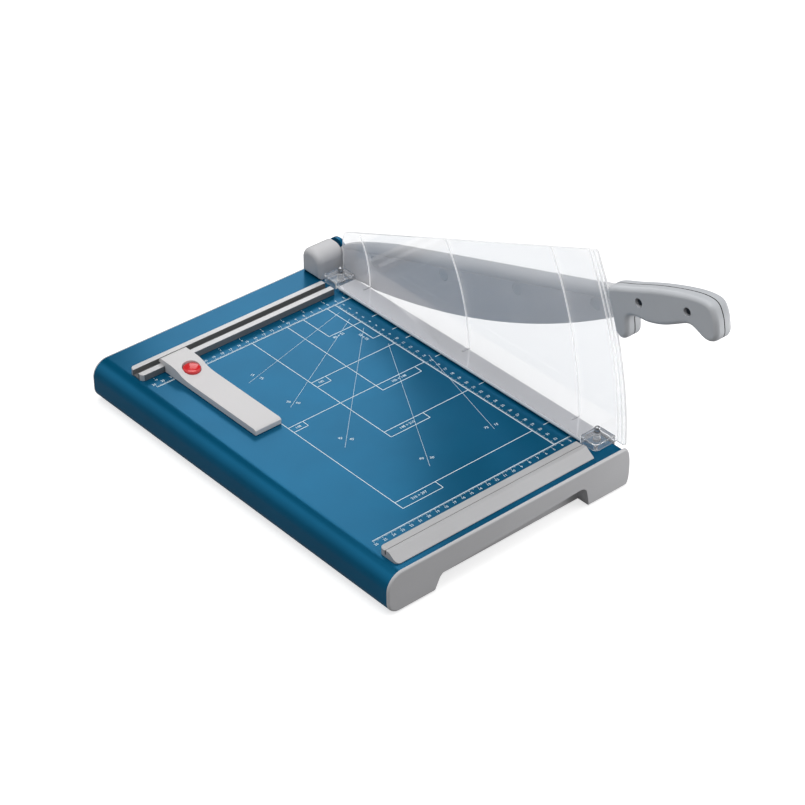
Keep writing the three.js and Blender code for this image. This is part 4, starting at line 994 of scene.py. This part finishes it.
def guard_outline():
    """The upright panel, drawn forward from the rail's face and up from the bench."""
    offset = guard_top(-pivot_y) - pivot_z
    square = 1 + guard_slope ** 2
    mixed = guard_slope * offset
    reach = (math.sqrt(mixed ** 2 - square * (offset ** 2 - guard_reach ** 2)) - mixed) / square
    high = math.degrees(math.atan2(guard_slope * reach + offset, reach))
    low = math.degrees(math.asin((flange_foot_z - pivot_z) / guard_reach))
    near = arc(-pivot_y, pivot_z, guard_reach, high, low, 48)
    near = [(*near[0], guard_corner), *((a, b, 0) for a, b in near[1:-1]), (*near[-1], guard_corner)]
    rear_top = (-guard_back, guard_top(-guard_back), guard_rear_corner)
    return [(-guard_back, flange_foot_z, 0), rear_top, *near]


panel = rounded(guard_outline())
shield = prism(panel, side_view, guard_left, guard_right)
softened(shield, 0.5, 2, 40)


def arc_rib(radius):
    """A raised line on the panel's left face, an arc about the pivot."""
    start = math.degrees(math.asin((rib_foot - pivot_z) / radius))
    outer = arc(-pivot_y, pivot_z, radius + rib_wide / 2, start, 60, 40)
    inner = arc(-pivot_y, pivot_z, radius - rib_wide / 2, start, 60, 40)
    return prism([*outer, *reversed(inner)], side_view, guard_left - rib_proud, guard_left + 0.3)


limits = prism(panel, side_view, guard_left - 2, guard_right)
ribs = [arc_rib(radius) for radius in (*rib_radii, guard_reach - 4, guard_reach - 9)]
short_rib = prism([
    *bow((19.4, rib_foot), (19.4, rib_foot + 31), (5.4, rib_foot + 52)),
    *reversed(bow((20.6, rib_foot), (20.6, rib_foot + 31), (6.6, rib_foot + 52)))],
    side_view, guard_left - rib_proud, guard_left + 0.3)
ribs = combined(combined(ribs[0], "UNION", *ribs[1:], short_rib), "INTERSECT", limits)
rib_feet = [reach_at(radius, flange_top - pivot_z) - pivot_y for radius in rib_radii]
feet = [slab(guard_left - 9, guard_left + 0.3, -a - rib_wide / 2, -a + rib_wide / 2,
             rib_foot, flange_top + 1) for a in (*rib_feet, short_rib_at)]


def pin_block(back, front, back_corner, front_corner, pin):
    """The hollow block round a guide pin."""
    body = prism(rounded([(guard_right, front, 0.6), (guard_right, back, 0.6),
                          (block_left, back, back_corner), (block_left, front, front_corner)]),
                 plan_view, clamp_foot, block_top)
    softened(body, 0.3, 2, 50)
    return combined(body, "DIFFERENCE",
                    slab(block_left + 2, guard_left, front + 2, back - 2, clamp_foot - 1,
                         block_top - 2),
                    disc(pin_hole, plan_view, pin_x, pin, clamp_foot, block_top + 1, 32))


flange = slab(flange_left, guard_right, flange_front, flange_back, flange_foot_z, flange_top)
guard = combined(shield, "UNION", ribs, *feet, flange, pin_block(25, 4, 5, 0.6, rear_pin),
                 pin_block(-340, -361, 2, 5, front_pin))
# Edge faces take the painted highlight, the blocks' large faces the milky plastic.
for face in guard.faces:
    middle = face.calc_center_median()
    in_flange = flange_front + 1.1 < middle.y < flange_back - 1.1
    if middle.z < block_top + 0.3 and not in_flange:
        face.material_index = 1 if face.calc_area() < 3 else 2
    elif middle.x < flange_left + 0.1:
        face.material_index = 1
    elif middle.z > flange_top + 1.1 and (abs(face.normal.x) < 0.9 or middle.x < guard_left - 0.02):
        face.material_index = 1
guard_piece = shown(guard, "clear_guard", "clamp_guard", clear_plastic,
                    ["guard_shield"], smoother=12)
guard_piece.data.materials.append(edge_highlight_plastic)
guard_piece.data.materials.append(milky_plastic)

# Clamp bar: a satin aluminium strip under the guard's flange. It goes down with the guard and grips
# the paper beside the cut.
satin_aluminium = coating("satin_aluminium", (0.78, 0.79, 0.81), 0.4, 0.3, 0.0006, 0.00001,
                          mottle=0.03)
bar_low, bar_high = (bench.inverted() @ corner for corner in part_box("clamp_bar"))
strip = softened(slab(bar_low.x, bar_high.x, bar_low.y, bar_high.y, bar_low.z, bar_high.z), 0.3, 2)
shown(strip, "clamp_strip", "clamp_guard", satin_aluminium, ["clamp_bar"])

# Guide pins: chrome pins riveted in the table, each with a collar and a ball head that stops the
# guard. Nuts hold them from below, and wound springs lift the guard and get shorter as it goes down.
# Chrome set darker than bare chrome: a painted dark reflection on the pins and their balls.
chrome_painted_dark = coating("chrome_painted_dark_reflection", (0.4, 0.41, 0.43), 0.1, 1, 0.002, 0.000002, mottle=0.02)
collar = block_top - table_top + 0.3
ball_radius = 3
ball_rise = 13.5
neck_radius = 1.7
neck = math.degrees(math.asin(neck_radius / ball_radius))
ball = arc(0, ball_rise, ball_radius, neck - 90, 90, 14)
for name, y in (("rear", rear_pin), ("front", front_pin)):
    pin = spun([
        (0, -7), (2, -7), (2, 0.3), (4, 0.3), (4, 1.5), (2, 1.5), (2, collar), (2.9, collar),
        (3.1, collar + 0.2), (3.1, collar + 0.6), (2.9, collar + 0.8), (neck_radius, collar + 0.8),
        *ball[:-1], (0, ball_rise + ball_radius)], (pin_x, y, table_top), steps=32)
    shown(pin, f"{name}_ball_pin", "base", chrome_painted_dark, [f"{name}_guide_pin"], smoother=40)
    dressed(zinc, f"{name}_pin_nut")
    wound_spring(f"{name}_clamp_spring", "base", 4)

# Floor and light: a plain white floor that throws less light back on the part than it shows, a sky
# that is darker low in front and where the table mirrors it, a wide lamp overhead, a small one at the
# front right and one behind for the sheen on the table.
floor_mesh = bmesh.new()
bmesh.ops.create_grid(floor_mesh, x_segments=1, y_segments=1, size=6)
floor_data = bpy.data.meshes.new("floor")
floor_mesh.to_mesh(floor_data)
floor_mesh.free()
floor = bpy.data.objects.new("floor", floor_data)
bpy.context.scene.collection.objects.link(floor)
floor_white = bpy.data.materials.new("floor_white")
floor_white.use_nodes = True
floor_tree = floor_white.node_tree
floor_nodes, floor_links = floor_tree.nodes, floor_tree.links
floor_skin = floor_nodes["Principled BSDF"]
floor_skin.inputs["Base Color"].default_value = (0.6, 0.6, 0.6, 1)
floor_skin.inputs["Roughness"].default_value = 0.9
floor_skin.inputs["Emission Color"].default_value = (1, 1, 1, 1)
floor_skin.inputs["Emission Strength"].default_value = 0.66
dim_floor = floor_nodes.new("ShaderNodeBsdfDiffuse")
dim_floor.inputs["Color"].default_value = (0.25, 0.25, 0.25, 1)
seen = floor_nodes.new("ShaderNodeLightPath")
floor_mix = floor_nodes.new("ShaderNodeMixShader")
mirrored = worked_out(floor_tree, "SUBTRACT", seen.outputs["Is Glossy Ray"],
                      seen.outputs["Is Transmission Ray"])
bounced = worked_out(floor_tree, "MAXIMUM", seen.outputs["Is Diffuse Ray"], mirrored)
floor_links.new(bounced, floor_mix.inputs["Fac"])
floor_links.new(floor_skin.outputs["BSDF"], floor_mix.inputs[1])
floor_links.new(dim_floor.outputs["BSDF"], floor_mix.inputs[2])
floor_links.new(floor_mix.outputs["Shader"], floor_nodes["Material Output"].inputs["Surface"])
floor_data.materials.append(floor_white)

world = bpy.data.worlds.new("studio")
bpy.context.scene.world = world
world.use_nodes = True
world.node_tree.nodes["Background"].inputs["Color"].default_value = (1, 1, 1, 1)
sky, sky_links = world.node_tree.nodes, world.node_tree.links
toward = sky.new("ShaderNodeTexCoord")


def fade(direction, start, end, low, high):
    """A level that changes smoothly with the angle from a direction in the studio."""
    facing = sky.new("ShaderNodeVectorMath")
    facing.operation = "DOT_PRODUCT"
    facing.inputs[1].default_value = Vector(direction).normalized()
    sky_links.new(toward.outputs["Generated"], facing.inputs[0])
    level = sky.new("ShaderNodeMapRange")
    level.interpolation_type = "SMOOTHSTEP"
    for socket, value in (("From Min", start), ("From Max", end), ("To Min", low), ("To Max", high)):
        level.inputs[socket].default_value = value
    sky_links.new(facing.outputs["Value"], level.inputs["Value"])
    return level.outputs["Result"]


from_above = fade((0.3, 0.3, 0.9), -0.4, 0.9, 0.14, 1)
beyond_table = fade((0.535, 0.623, 0.571), 0.5, 0.85, 1, 0.05)
sky_links.new(worked_out(world.node_tree, "MULTIPLY", from_above, beyond_table),
              sky["Background"].inputs["Strength"])
bpy.context.scene.view_settings.view_transform = "Standard"


def soft_light(name, place, aim, wide, tall, radiance):
    """A rectangular lamp that faces its aim; its width is level."""
    data = bpy.data.lights.new(name, "AREA")
    data.shape = "RECTANGLE"
    data.size = wide
    data.size_y = tall
    data.energy = radiance * wide * tall * math.pi
    light = bpy.data.objects.new(name, data)
    bpy.context.scene.collection.objects.link(light)
    light.location = bench @ Vector(place)
    light.rotation_mode = "QUATERNION"
    light.rotation_quaternion = (Vector(aim) - Vector(place)).to_track_quat("-Z", "Y")


soft_light("overhead", (-200, -200, 1700), (-150, -150, 0), 1.6, 1.2, 1.9)
soft_light("front_right", (250, -620, 90), (-20, -371, 20), 0.25, 0.25, 3.8)
soft_light("table_sheen", (225, 440, 562), (-230, -120, 43), 0.36, 0.72, 1.7)

# Camera: at the photograph's place and angle, with a 111 mm lens on a 36 mm square frame and a slight
# roll, all solved from the printed scales.
camera_place = (-1335.6, -1617.8, 1356.5)
camera_aim = (0.53513, 0.62265, -0.57091)
camera_roll = -0.3

lens = bpy.data.cameras.new("camera")
lens.lens = 111.24
lens.sensor_width = 36
lens.clip_start = 0.1
lens.clip_end = 20
camera = bpy.data.objects.new("camera", lens)
bpy.context.scene.collection.objects.link(camera)
camera.location = bench @ Vector(camera_place)
camera.rotation_mode = "QUATERNION"
looking = Vector(camera_aim).to_track_quat("-Z", "Y")
roll = Matrix.Rotation(math.radians(camera_roll), 3, "Z").to_quaternion()
camera.rotation_quaternion = looking @ roll
bpy.context.scene.camera = camera
